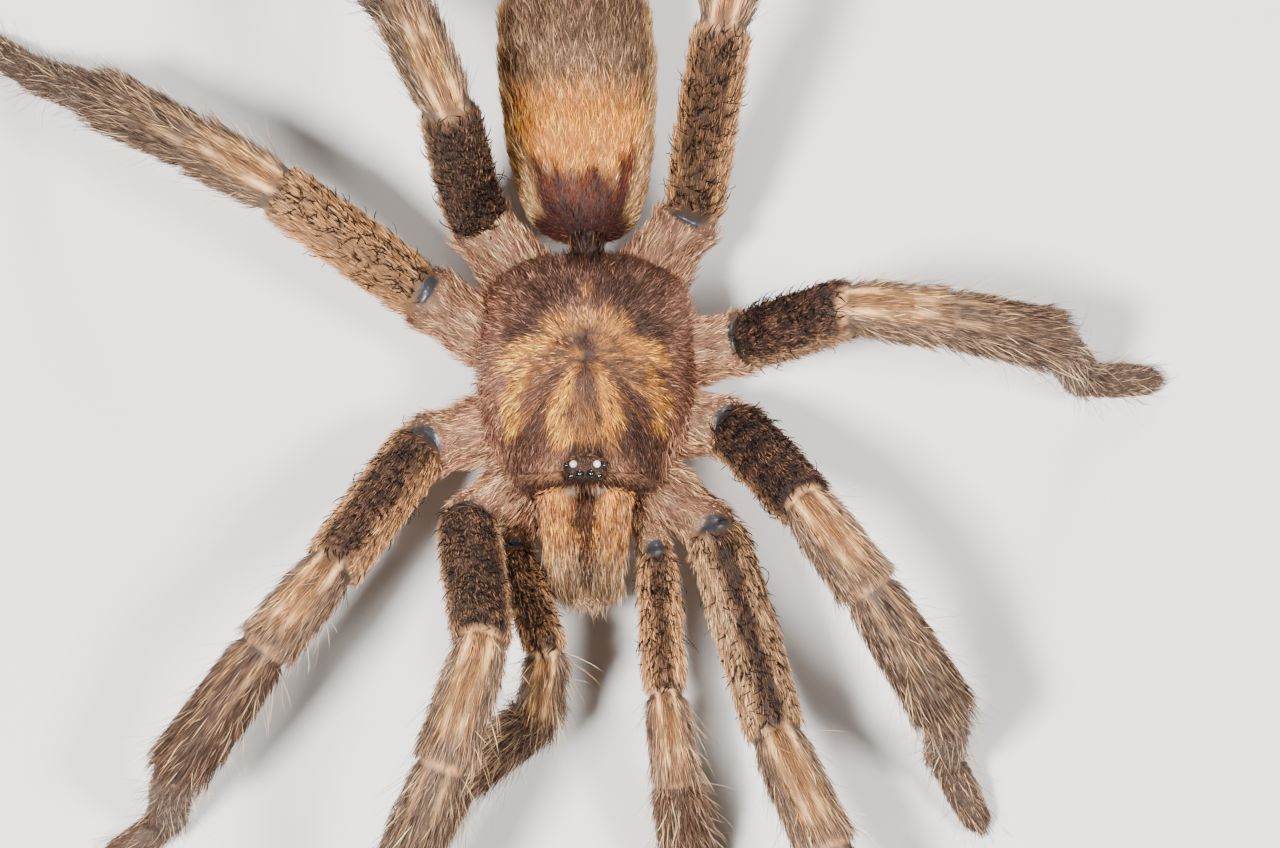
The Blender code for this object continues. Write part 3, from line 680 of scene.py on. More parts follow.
def limb_look(limb):
    """Colours and hair along one limb."""
    palp = limb.name.startswith("palp")
    # Share of painted shadow on this limb's shins.
    shin_shadow = SHADOWED_SHINS.get(limb.name, 0.0)

    def look(place, angle, points, wobble):
        part, local = limb.where(place)
        gap, joint = limb.from_joint(place)
        turn = np.degrees(np.arctan2(np.cos(angle), np.sin(angle)))      # 0 on top, 180 below
        off = np.abs(turn) + 7 * wobble
        streak = streaks(angle, place * 9, SEED + 4, 4, 22)
        count = len(points)
        colour = mix(PINK_TAN, PALE_TAN, 0.7 * ease(-0.3, 0.6, wobble + 0.5 * streak))
        colour = mix(colour, BROWN, 0.58 * ease(-0.1, 0.7, ripple(points, 0.9, SEED + 6)))
        other = mix(BROWN, mix(GREY_TAN, CREAM, 0.5), ease(0.0, 0.3, wobble))
        share, calm = np.full(count, 0.24), np.zeros(count)
        length, lift = np.full(count, 1.05), np.full(count, 30.0)
        keep, width = np.ones(count), np.full(count, 0.0165)

        femur, knee, shin = part == 1, part == 2, part == 3
        last = part == len(limb.lengths) - 1
        foot = part >= (3 if palp else 4)
        upper_shin = shin & ~foot
        lined = knee | upper_shin

        tone, stripe = thigh_colour(limb, local, off, streak, wobble)
        colour = np.where(femur[:, None], tone, colour)
        other = np.where(femur[:, None], mix(mix(TAN, tone, 0.75), BROWN, 0.7 * (1 - stripe)), other)
        share = np.where(femur, 0.16, share)
        calm = np.where(femur, 0.55, calm)

        grey = shin_colour(knee, shin, upper_shin, shin_shadow, local, turn, streak, wobble)
        colour = np.where(lined[:, None], grey, colour)
        other = np.where(shin[:, None], UMBER, other)
        other = np.where(knee[:, None], mix(UMBER, GREY_BROWN, 0.6), other)

        low = foot_colour(shin, shin_shadow, off, streak, wobble)
        colour = np.where(foot[:, None], low, colour)
        other = np.where(foot[:, None], mix(GREY_TAN, GREY_BROWN, 1.4 * shin_shadow), other)

        middle = np.interp(local, (0.06, 0.90), (25, 16))
        aside = np.abs(np.abs(turn) - middle)
        along = ease(-0.02, 0.08, local) * ease(0.92, 0.66, local)
        along = along * np.where(knee, 1.0, 0.35 * ease(0.7, 0.3, local)) * lined
        line = ease(1.25, 0.75, aside / 4.6) * along
        bright = mix(GOLD, CREAM, 0.55) * 1.15
        colour = mix(colour, bright, 0.95 * ease(8.0, 4.8, aside) * along)
        share = share * (1 - 0.8 * ease(12.0, 8.0, aside) * along)
        calm = np.where(lined, 0.35 + ease(60, 38, off) * 0.6, calm)

        lens = np.hypot((gap - 0.12) / 0.52, turn / (50 if palp else 46))
        cap = ease(1.05, 0.80, lens) * (joint == 1)
        rim = ease(0.11, 0.04, np.abs(gap)) * (joint > 1) * ease(75, 45, off)
        near = ease(1.1, 0.25, np.abs(gap)) * (gap < 0) * (joint > 1) * (joint < (3 if palp else 4))
        length = np.where(femur, 0.95, length)
        length = np.where(knee | shin, 1.15 + 0.25 * ease(0.5, 0.9, local), length)
        length = np.where(foot, 1.0, length)
        length = np.where(last, 0.62, length)
        bushy = (shin & palp) * (ease(-0.1, 0.5, -np.cos(angle)) if limb.name == "palp_left" else 0.3)
        length = length + 0.6 * bushy
        length = length * (1 - 0.45 * near)
        base = ease(1.9, 0.5, np.abs(gap)) * (gap < 0) * (joint == 1) * ease(85, 55, np.abs(turn))
        length = length * (1 - 0.78 * base)
        lift = np.where(femur, 17.0 + 10 * ease(50, 100, off), lift)
        lift = np.where(knee | shin, 14.0 + 8 * ease(0.6, 0.95, local) + 7 * ease(50, 100, off), lift)
        lift = np.where(foot, 18.0, lift) + 16 * bushy
        bald = np.maximum(np.maximum(line * 0.25, cap), rim * 0.3)
        keep = keep * (1 - 0.95 * np.clip(np.maximum(line, cap) * 1.4, 0, 1)) * (1 - 0.6 * rim)
        keep = keep * (1 - 0.20 * ease(110, 150, off))
        below = ease(75, 125, off)[:, None]
        # Skin under the coat darker than the hair, most on top: partly its own colour, partly painted
        # shade under the coat.
        plain = mix(colour * (0.22 + 0.40 * below), mix(PALE_TAN, TAN, 0.5) * 0.8, rim)
        plain = mix(plain, SLATE * SKIN_SHADE, cap)
        plain = mix(plain, mix(TAN, CREAM, 0.60), line)
        return dict(colour=colour, other=other, share=share, length=length, lift=lift, keep=keep,
                    width=width, bald=bald, plain=plain, calm=calm)
    return look


# ---------------------------------------------------------------- skin
def tidy_selection():
    """Nothing selected, object mode."""
    if bpy.context.object and bpy.context.object.mode != "OBJECT":
        bpy.ops.object.mode_set(mode="OBJECT")
    bpy.ops.object.select_all(action="DESELECT")


def ball_mesh(name, segments, rings):
    """A fresh unit sphere primitive, as a start for a shape."""
    tidy_selection()
    bpy.ops.mesh.primitive_uv_sphere_add(segments=segments, ring_count=rings, radius=1.0)
    ball = bpy.context.object
    ball.name = name
    ball.data.name = name
    return ball


def read_points(mesh):
    """Vertex places of a mesh as an array."""
    flat = np.empty(len(mesh.vertices) * 3)
    mesh.vertices.foreach_get("co", flat)
    return flat.reshape(-1, 3)


def write_points(mesh, points):
    """Put vertices at new places, in metres."""
    mesh.vertices.foreach_set("co", np.asarray(points, float).ravel())
    mesh.update()


def shape_form(form, segments, rings, crowd_ends):
    """Turn a sphere primitive into a form. Returns the object and each vertex's place and angle."""
    ball = ball_mesh(form.name + "_skin", segments, rings)
    unit_points = read_points(ball.data)
    height = np.clip(unit_points[:, 2], -1, 1)
    place = (1 - height) / 2 if crowd_ends else np.arccos(height) / math.pi
    angle = np.arctan2(unit_points[:, 1], unit_points[:, 0])
    write_points(ball.data, to_frame(form.skin(place, angle)))
    return ball, place, angle


def face_outwards(thing):
    """Make every face of a piece point out."""
    tidy_selection()
    thing.select_set(True)
    bpy.context.view_layer.objects.active = thing
    bpy.ops.object.mode_set(mode="EDIT")
    bpy.ops.mesh.select_all(action="SELECT")
    bpy.ops.mesh.normals_make_consistent(inside=False)
    bpy.ops.object.mode_set(mode="OBJECT")


def apply_modifiers(thing):
    """Apply what is on a piece, in order."""
    tidy_selection()
    bpy.context.view_layer.objects.active = thing
    thing.select_set(True)
    for modifier in list(thing.modifiers):
        bpy.ops.object.modifier_apply(modifier=modifier.name)


def make_skin(forms, looks):
    """One closed skin from all forms, with its colours."""
    fine = {"trunk": (112, 80), "abdomen": (80, 80), "mound": (48, 28), "waist": (24, 14)}
    operands = bpy.data.collections.new("skin_shapes")
    bpy.context.scene.collection.children.link(operands)
    shapes, places, tints, balds = [], [], [], []
    for form in forms:
        limb = isinstance(form, Limb)
        size = fine.get(form.name, (26, 176) if limb else (36, 40))
        shape, place, angle = shape_form(form, *size, crowd_ends=not limb)
        face_outwards(shape)
        points = form.skin(place, angle)
        look = looks[form.name](place, angle, points, ripple(points, PATCH_SIZE, SEED))
        shapes.append(shape)
        places.append(points)
        tints.append(look.get("plain", look["colour"] * SKIN_SHADE))
        balds.append(look.get("bald", np.zeros(len(points))))
        if len(shapes) > 1:
            operands.objects.link(shape)
    skin = shapes[0]
    union = skin.modifiers.new("one skin", "BOOLEAN")
    union.operation = "UNION"
    union.solver = "EXACT"
    union.operand_type = "COLLECTION"
    union.collection = operands
    apply_modifiers(skin)
    for shape in shapes[1:]:
        bpy.data.objects.remove(shape, do_unlink=True)
    bpy.data.collections.remove(operands)
    skin.name = skin.data.name = "skin"
    tree = kdtree.KDTree(sum(len(p) for p in places))
    for i, point in enumerate(np.vstack(places)):
        tree.insert(point, i)
    tree.balance()
    tints, balds = np.vstack(tints), np.concatenate(balds)
    own = read_points(skin.data) / MM - SHIFT
    nearest = np.array([tree.find(point)[1] for point in own])
    write_colour(skin.data, "tint", tints[nearest], balds[nearest])
    tidy_selection()
    skin.select_set(True)
    bpy.context.view_layer.objects.active = skin
    bpy.ops.object.shade_smooth()
    return skin


def write_colour(mesh, name, colour, alpha):
    """Store a colour and a fourth value at every vertex."""
    layer = mesh.color_attributes.new(name, "FLOAT_COLOR", "POINT")
    layer.data.foreach_set("color", np.column_stack([colour, alpha]).astype(np.float32).ravel())


# ---------------------------------------------------------------- coat
def trunk_flow(points):
    """Hair runs out from the pit, forwards on the head and sideways past the eyes."""
    out = points[:, :2] - np.array(FOVEA)
    out = out / (np.linalg.norm(out, axis=1, keepdims=True) + 0.15)
    head = ease(-1.5, -4.0, points[:, 1])[:, None]
    way = out + head * np.array([0.0, -0.35])
    gap = points[:, :2] - np.array(TUBERCLE[:2])
    near = (ease(2.3, 0.9, np.linalg.norm(gap, axis=1)) * ease(-1.1, 0.2, -gap[:, 1]))[:, None]
    aside = unit(gap * np.array([1.0, 0.3]) + np.array([0.0, -0.25])) * 1.4
    way = way * (1 - near) + aside * near
    return np.column_stack([way, np.full(len(points), -0.15)])


def search_tree(mesh):
    """Search tree of the skin. Its points and faces come in a fixed order, so that each run
    finds the same roots, because the joined shapes' own order can change from run to run."""
    points = read_points(mesh)
    order = np.lexsort(points.T)
    rank = np.empty(len(order), int)
    rank[order] = np.arange(len(order))
    faces = []
    for polygon in mesh.polygons:
        corners = [int(rank[i]) for i in polygon.vertices]
        first = corners.index(min(corners))
        faces.append(corners[first:] + corners[:first])
    return BVHTree.FromPolygons([Vector(point) for point in points[order]], sorted(faces))


def scatter(form, look, count, rng, tree, bias):
    """Root places on the visible skin: place, angle, point, normal, flow and looks."""
    found = {}
    have = rounds = 0
    probe = form.at(rng.random(4000), rng.random(4000) * 2 * math.pi)[3]
    most = np.quantile(probe, 0.995)
    while have < count and rounds < 40:
        rounds += 1
        place, angle = rng.random(count), rng.random(count) * 2 * math.pi
        point, normal, along, size = form.at(place, angle)
        details = look(place, angle, point, ripple(point, PATCH_SIZE, SEED))
        share = size / most * details["keep"] * bias(place, angle, point, normal)
        chosen = rng.random(count) < share
        flow = along if form.name != "trunk" else trunk_flow(point)
        if form.name.startswith("chelicera"):
            flow = unit(along * 0.45 + np.array([0.0, -0.55, -0.12]))
        pick = (rng.random(count) < details["share"])[:, None]
        rows = dict(place=place, angle=angle, point=point, normal=normal, flow=flow,
                    colour=np.where(pick, details["other"], details["colour"]),
                    calm=details.get("calm", np.zeros(count)), **{
                        key: details[key] for key in ("length", "lift", "width")})
        for key, value in rows.items():
            found.setdefault(key, []).append(value[chosen])
        have += int(chosen.sum())
    found = {key: np.concatenate(value)[:count] for key, value in found.items()}
    world = to_frame(found["point"])
    shown = np.empty(len(world), bool)
    for i, spot in enumerate(world):
        near, out, _, gap = tree.find_nearest(Vector(spot))
        above = (Vector(spot) - near).dot(out) > -FOLD_DEPTH * MM
        shown[i] = gap < ROOT_GAP * MM or (gap < FOLD_GAP * MM and above)
    shown &= found["point"][:, 2] > LOWEST_ROOT
    return {key: value[shown] for key, value in found.items()}


def coat_piece(name, growths):
    """One mesh piece from several growths of hair, with its tint and its own map."""
    offsets = np.cumsum([0] + [len(growth["points"]) for growth in growths[:-1]])
    points = to_frame(np.vstack([growth["points"] for growth in growths]))
    triangles = np.vstack([growth["faces"] + offset for growth, offset in zip(growths, offsets)])
    mesh = bpy.data.meshes.new(name)
    mesh.vertices.add(len(points))
    mesh.vertices.foreach_set("co", points.astype(np.float32).ravel())
    mesh.loops.add(triangles.size)
    mesh.loops.foreach_set("vertex_index", triangles.astype(np.int32).ravel())
    mesh.polygons.add(len(triangles))
    mesh.polygons.foreach_set("loop_start", np.arange(0, triangles.size, 3, dtype=np.int32))
    mesh.update(calc_edges=True)
    mesh.polygons.foreach_set("use_smooth", np.ones(len(triangles), bool))
    tint = np.vstack([growth["tint"] for growth in growths])
    write_colour(mesh, "tint", tint, np.ones(len(tint)))
    uv = np.vstack([growth["uv"] for growth in growths])
    mesh.uv_layers.new(name="OFBake").data.foreach_set("uv", uv.astype(np.float32).ravel())
    piece = bpy.data.objects.new(name, mesh)
    bpy.context.scene.collection.objects.link(piece)
    return piece


def hair_triangles(rings):
    """Triangles of one hair: a closed three-sided spike with a number of rings."""
    faces = [(0, 2, 1)]
    for ring in range(rings - 1):
        for k in range(3):
            a, b = 3 * ring + k, 3 * ring + (k + 1) % 3
            faces += [(a, b, b + 3), (a, b + 3, a + 3)]
    top = 3 * (rings - 1)
    faces += [(top + k, top + (k + 1) % 3, top + 3) for k in range(3)]
    return np.array(faces)


def grow(roots, rng, rings=2, spread=11.0, droop=0.75, tone=0.36, fan=1.0):
    """Grow one closed tapered hair at every root, along the flow, and bend it to the body."""
    count = len(roots["point"])
    normal, flow = roots["normal"], roots["flow"]
    loose = 1 - roots["calm"]
    flow = unit(flow - normal * dot(flow, normal))
    lateral = np.cross(normal, flow)
    clump = ripple(roots["point"], 6.5, SEED + 8)
    lean = 8 * ripple(roots["point"], 1.1, SEED + 3) + 6 * ripple(roots["point"], 5.0, SEED + 9)
    sway = np.radians((rng.normal(0, spread, count) + lean) * loose)
    flow = flow * np.cos(sway)[:, None] + lateral * np.sin(sway)[:, None]
    lateral = np.cross(normal, flow)
    lift = np.radians(roots["lift"] * rng.uniform(0.6, 1.45, count))[:, None]
    length = (roots["length"] * rng.uniform(0.72, 1.22, count))[:, None]
    width = (roots["width"] * rng.uniform(0.75, 1.25, count))[:, None]
    bend = (rng.normal(0, 0.10, count) * loose)[:, None] * length * fan
    stations = np.linspace(0, 1, rings + 1)
    shares = {1: (1.0,), 2: (0.85, 1.0), 3: (0.85, 1.0, 0.72)}[rings]
    points = np.empty((count, 3 * rings + 1, 3))
    start = roots["point"] - normal * (0.02 + 0.03 * length)
    for i, s in enumerate(stations):
        rise = np.sin(lift) * s * (1 - droop * 0.5 * s) * length
        centre = start + flow * np.cos(lift) * s * length + normal * rise + lateral * bend * s * s
        if i == rings:
            points[:, -1] = centre
            break
        for k in range(3):
            turn = 2 * math.pi * k / 3
            points[:, 3 * i + k] = centre + width * shares[i] * (
                lateral * math.cos(turn) + normal * math.sin(turn))
    points[:, :, 2] = np.maximum(points[:, :, 2], LOWEST_HAIR)
    faces = hair_triangles(rings)
    offsets = np.arange(count)[:, None, None] * (3 * rings + 1)
    shade = np.exp(rng.normal(0, tone, count) * (0.45 + 0.55 * loose) + 0.26 * clump)[:, None]
    colour = roots["colour"] * shade
    level = np.concatenate([np.repeat(stations[:-1], 3), [1.0]])
    # Each hair darker at the root: partly its own darker base, partly painted shade deep in the coat.
    tint = colour[:, None, :] * (0.36 + 0.98 * level[None, :, None] ** 0.8)
    return dict(points=points.reshape(-1, 3), faces=(faces[None] + offsets).reshape(-1, 3),
                tint=np.clip(tint.reshape(-1, 3), 0, 1), uv=bake_map(roots, faces, level))


def bake_map(roots, faces, level):
    """Each hair is a small patch at its root's place on the unrolled skin."""
    u = (roots["angle"] / (2 * math.pi)) % 1.0 * MAP_SHARE
    v = roots["place"] * MAP_SHARE
    corner_u = level * BAKE_PATCH
    corner_v = np.append(np.tile([0.0, 0.5, 1.0], (len(level) - 1) // 3), 0.5) * BAKE_PATCH
    uv = np.empty((len(u), faces.size, 2))
    uv[:, :, 0] = u[:, None] + corner_u[faces.ravel()]
    uv[:, :, 1] = v[:, None] + corner_v[faces.ravel()]
    return uv.reshape(-1, 2)


def long_hairs(form, look, count, rng, tree, zone, length, lift, width, colours):
    """A few hairs that stand out from the coat."""
    roots = scatter(form, look, count, rng, tree, bias=zone)
    total = len(roots["point"])
    roots["length"] = rng.uniform(*length, total)
    roots["lift"] = rng.uniform(*lift, total)
    roots["width"] = np.full(total, width)
    roots["calm"] = np.zeros(total)
    roots["colour"] = mix(colours[0], colours[1], rng.random(total))
    return roots


# ---------------------------------------------------------------- materials
def new_material(name, roughness, **sockets):
    """Principled material with its plain values set on the shader itself."""
    material = bpy.data.materials.new(name)
    material.use_nodes = True
    shader = material.node_tree.nodes["Principled BSDF"]
    shader.inputs["Roughness"].default_value = roughness
    for socket, value in sockets.items():
        shader.inputs[socket.replace("_", " ").title().replace("Ior", "IOR")].default_value = value
    return material, material.node_tree.nodes, material.node_tree.links, shader


def tinted(nodes, links, scale, low, high):
    """The piece's own tint, varied by a fine noise. Returns the colour socket and the tint node."""
    tint = nodes.new("ShaderNodeAttribute")
    tint.attribute_name = "tint"
    place = nodes.new("ShaderNodeTexCoord")
    noise = nodes.new("ShaderNodeTexNoise")
    noise.inputs["Scale"].default_value = scale
    noise.inputs["Detail"].default_value = 4.0
    links.new(place.outputs["Object"], noise.inputs["Vector"])
    ramp = nodes.new("ShaderNodeMapRange")
    ramp.inputs["To Min"].default_value = low
    ramp.inputs["To Max"].default_value = high
    links.new(noise.outputs["Fac"], ramp.inputs["Value"])
    blend = nodes.new("ShaderNodeVectorMath")
    blend.operation = "SCALE"
    links.new(tint.outputs["Color"], blend.inputs[0])
    links.new(ramp.outputs["Result"], blend.inputs["Scale"])
    return blend.outputs["Vector"], tint, place


def hair_material():
    """Dry, slightly shiny hair."""
    material, nodes, links, shader = new_material("hair", 0.42, specular_ior_level=0.22)
    colour, *_ = tinted(nodes, links, 900.0, 0.80, 1.20)
    links.new(colour, shader.inputs["Base Color"])
    return material


def skin_material():
    """Leathery skin, smooth and shiny where it is bald."""
    material, nodes, links, shader = new_material("skin", 0.6, specular_ior_level=0.35)
    colour, tint, place = tinted(nodes, links, 2600.0, 0.65, 1.25)
    links.new(colour, shader.inputs["Base Color"])
    rough = nodes.new("ShaderNodeMapRange")
    rough.inputs["To Min"].default_value = 0.72
    rough.inputs["To Max"].default_value = 0.32
    links.new(tint.outputs["Alpha"], rough.inputs["Value"])
    links.new(rough.outputs["Result"], shader.inputs["Roughness"])
    pores = nodes.new("ShaderNodeTexVoronoi")
    pores.inputs["Scale"].default_value = 5200.0
    links.new(place.outputs["Object"], pores.inputs["Vector"])
    bump = nodes.new("ShaderNodeBump")
    bump.inputs["Strength"].default_value = 0.35
    bump.inputs["Distance"].default_value = 0.00004
    links.new(pores.outputs["Distance"], bump.inputs["Height"])
    links.new(bump.outputs["Normal"], shader.inputs["Normal"])
    return material


def gloss_material(name, dark, pale, roughness, scale, coat):
    """Glossy horn or eye with a soft cloud from dark to pale."""
    material, nodes, links, shader = new_material(
        name, roughness, specular_ior_level=0.45, coat_weight=coat, coat_roughness=0.04)
    place = nodes.new("ShaderNodeTexCoord")
    noise = nodes.new("ShaderNodeTexNoise")
    noise.inputs["Scale"].default_value = scale
    links.new(place.outputs["Object"], noise.inputs["Vector"])
    ramp = nodes.new("ShaderNodeValToRGB")
    ramp.color_ramp.elements[0].position = 0.35
    ramp.color_ramp.elements[1].position = 0.65
    ramp.color_ramp.elements[0].color = (*dark, 1)
    ramp.color_ramp.elements[1].color = (*pale, 1)
    links.new(noise.outputs["Fac"], ramp.inputs["Fac"])
    links.new(ramp.outputs["Color"], shader.inputs["Base Color"])
    return material


def dress(thing, material, slot, *nodes):
    """Give a piece its material, its body and the nodes it stands for. The slot argument is not used."""
    thing.data.materials.clear()
    thing.data.materials.append(material)
    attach(thing, "root")
    if nodes:
        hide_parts(*nodes)


# ---------------------------------------------------------------- hard parts
def make_eyes():
    """Eight polished beads on the mound."""
    black = gloss_material("eye black", (0.003, 0.003, 0.003), (0.010, 0.008, 0.007), 0.10, 900, 0.3)
    pearl = gloss_material("eye pearl", (0.30, 0.26, 0.19), (0.66, 0.60, 0.48), 0.25, 3000, 0.35)
    for row, (x, y, z, radius) in EYES.items():
        for hand, sign in (("left", 1), ("right", -1)):
            bead = ball_mesh(f"bead_{row}_{hand}", 28, 18)
            points = read_points(bead.data) * radius * (1.0, 1.0, 0.96) + (sign * x, y, z)
            write_points(bead.data, to_frame(points))
            bpy.ops.object.shade_smooth()
            pale = row == "rear_median"
            dress(bead, pearl if pale else black, "eye_pale" if pale else "eye_dark",
                  f"eye_{row}_{hand}")


def make_tube(name, centres, overs, rises, girths, segments=20):
    """Round tapered piece along a line, from a sphere primitive whose rings become its sections."""
    rings = len(centres)
    tube = ball_mesh(name, segments, rings + 1)
    ball_points = read_points(tube.data)
    height = np.round(np.arccos(np.clip(ball_points[:, 2], -1, 1)) / math.pi * (rings + 1)).astype(int)
    angle = np.arctan2(ball_points[:, 1], ball_points[:, 0])
    index = np.clip(height - 1, 0, rings - 1)
    girth = np.array(girths)[index] * np.where((height == 0) | (height == rings + 1), 0, 1)
    across = np.array(overs)[index] * np.cos(angle)[:, None]
    upward = np.array(rises)[index] * np.sin(angle)[:, None]
    points = np.array(centres)[index] + girth[:, None] * (across + upward)
    write_points(tube.data, to_frame(points))
    face_outwards(tube)
    bpy.ops.object.shade_smooth()
    return tube


def make_fangs(horn):
    """Two curved fangs folded under their bases."""
    for hand, sign in (("left", 1), ("right", -1)):
        turns = np.radians(np.linspace(0, 80, 22))
        share = np.linspace(0, 1, 22)
        y = FANG_ROOT[1] + FANG_SWEEP * (1 - np.cos(turns))
        z = FANG_ROOT[2] - FANG_SWEEP * 0.62 * np.sin(turns)
        x = sign * (FANG_ROOT[0] - 0.25 * share)
        girths = np.interp(share, np.linspace(0, 1, 6), FANG_GIRTHS) * np.where(share > 0.97, 0.45, 0.96)
        overs = np.tile([sign, 0.0, 0.0], (22, 1))
        rises = np.column_stack([np.zeros(22), -np.cos(turns), -np.sin(turns)])
        fang = make_tube(f"fang_horn_{hand}", np.column_stack([x, y, z]), overs, rises, girths)
        dress(fang, horn, "fang_horn", f"fang_{hand}")


def make_claws(limbs, horn):
    """A pair of tiny hooked claws at the end of every limb."""
    for limb in limbs.values():
        tip, before = limb.centre[-1], limb.centre[-25]
        ahead = unit((tip - before)[None])[0]
        side = limb.side[-1]
        claws = []
        for sign in (-1, 1):
            share = np.linspace(0, 1, 9)
            turns = share * 1.25
            base = tip - ahead * 0.18 + side * sign * 0.16 + np.array([0, 0, 0.10])
            hook = np.outer(np.sin(turns), ahead) - np.outer(1 - np.cos(turns), (0, 0, 1))
            centres = base + 0.50 * hook
            centres[:, 2] = np.maximum(centres[:, 2], 0.10)
            overs = np.tile(side, (9, 1))
            rises = np.cross(overs, np.tile(ahead, (9, 1)))
            claws.append(make_tube(f"claws_{limb.name}", centres, overs, rises,
                                   0.065 * (1 - 0.75 * share), segments=10))
        tidy_selection()
        for claw in claws:
            claw.select_set(True)
        bpy.context.view_layer.objects.active = claws[0]
        bpy.ops.object.join()
        claws[0].name = claws[0].data.name = f"claws_{limb.name}"
        dress(claws[0], horn, "fang_horn")


def spinneret_form(sign):
    """One jointed spinneret."""
    along = direction(92.5 - sign * 12, 16)
    side = unit(np.cross(along, [0, 0, 1.0])[None])[0]
    up = np.cross(side, along)
    middle = abdomen_middle(SPINNERET_ROOT[1])
    root = np.array([middle + sign * SPINNERET_ROOT[0], SPINNERET_ROOT[1], SPINNERET_ROOT[2]])

    def skin(place, angle):
        girth = curve(SPINNERET_GIRTHS, 1, place) * 0.86 * close_ends(place, 0.04, 0.06)
        reach = np.outer(np.cos(angle), side) + np.outer(np.sin(angle), up)
        return root + np.outer(place, along) * SPINNERET_LENGTH + reach * girth[:, None]
    return Form(f"spinneret_{'left' if sign > 0 else 'right'}", skin)


def spinneret_look(place, angle, points, wobble):
    """Short grey brown hair."""
    return each(len(points), colour=GREY_BROWN, other=TAN, share=0.3, length=0.42, lift=18.0,
                keep=1.0, width=0.016)


# ---------------------------------------------------------------- coat pieces
HAIR_COUNTS = {     # short hairs, then longer curved ones
    "trunk": (25500, 9000), "abdomen": (23000, 8600), "chelicera": (6400, 3600),
    "spinneret": (260, 120), "mound": (1500, 0), "waist": (700, 250),
    "leg": (13000, 4500), "palp": (8600, 3500),
}
COAT_SLOTS = {
    "trunk": "carapace_coat", "mound": "carapace_coat", "waist": "carapace_coat",
    "abdomen": "abdomen_coat", "spinneret": "abdomen_coat", "chelicera": "chelicera_coat",
    "leg": "femur_coat", "palp": "femur_coat",
}


def top_bias(place, angle, point, normal):
    """More hair where it is seen, less underneath."""
    return 0.55 + 0.45 * ease(-0.3, 0.4, normal[:, 2])


def limb_bristles(limb, look, rng, tree):
    """Curved dark hairs along the top of the thigh, and long pale ones on the shins and feet."""
    thigh = scatter_zone(limb, 1, 1, -2.0, 0.45)
    outer = scatter_zone(limb, 2, 9, -0.5, -2.0)
    back = long_hairs(limb, look, 300, rng, tree, thigh, (0.95, 1.6), (34, 62), 0.036,
                      (BLACKISH * 0.3, BLACKISH * 0.8))
    long = long_hairs(limb, look, 260, rng, tree, outer, (1.4, 3.3), (22, 56), 0.0145, (CREAM, GREY_TAN))
    dark = long_hairs(limb, look, 130, rng, tree, outer, (1.1, 1.9), (18, 40), 0.017, (BLACKISH, BROWN))
    for roots in (back, long, dark):
        top = ease(0.45, 0.90, roots["normal"][:, 2])
        part, local = limb.where(roots["place"])
        top = np.maximum(top, (part == 1) * ease(0.60, 0.95, local))
        roots["lift"] = roots["lift"] * (1 - 0.40 * top)
        roots["length"] = roots["length"] * (1 - 0.40 * top)
    return [grow(back, rng, rings=3, spread=32.0, droop=1.2, fan=2.6),
            grow(long, rng, rings=3, spread=14.0, droop=0.5, fan=1.4),
            grow(dark, rng, rings=3, spread=14.0, droop=0.7, fan=1.6)]


def scatter_zone(limb, first, last, lowest, ridge):
    """Chooses roots on some lengths of a limb, above a normal height, or near its top ridge."""
    def zone(place, angle, point, normal):
        """Share of the roots to keep."""
        part, _ = limb.where(place)
        share = ((part >= first) & (part <= last)) * ease(lowest - 0.3, lowest + 0.1, normal[:, 2])
        if ridge > 0:
            share = share * (0.08 + ease(ridge, 0.95, np.sin(angle)))
        return share
    return zone


def angle_across(x):
    """Angle round the trunk's front edge at a distance from the middle."""
    return np.arccos(np.clip(x / 3.4, -1, 1))


def clypeus_bristles(rng):
    """Stiff dark bristles and fine hairs between the eyes and the fang bases."""
    count = 90
    x = rng.normal(0, 0.75, count)
    x[:6] = (-0.46, -0.25, -0.08, 0.11, 0.27, 0.48)
    stiff = np.arange(count) < 6
    point = np.column_stack([x, np.where(stiff, -6.86, -7.0), 9.42 - 0.14 * np.abs(x)])
    aside = np.where(stiff, 0.1, 0.8) * x
    flow = np.column_stack([aside, np.full(count, -1.0), rng.uniform(-0.5, -0.2, count)])
    colour = mix(DARK_TIP, PALE_TAN, np.where(stiff, 0.02, 0.7 * rng.random(count) ** 2))
    roots = each(count, point=point, normal=[0.0, -0.35, 0.94], flow=flow,
                 place=EDGE_PLACE, angle=angle_across(x), calm=0.7,
                 length=np.where(stiff, 1.55, 0.65), lift=np.where(stiff, 24.0, 10.0),
                 width=np.where(stiff, 0.050, 0.014), colour=colour)
    return [grow(roots, rng, rings=3, spread=6.0, droop=0.9)]


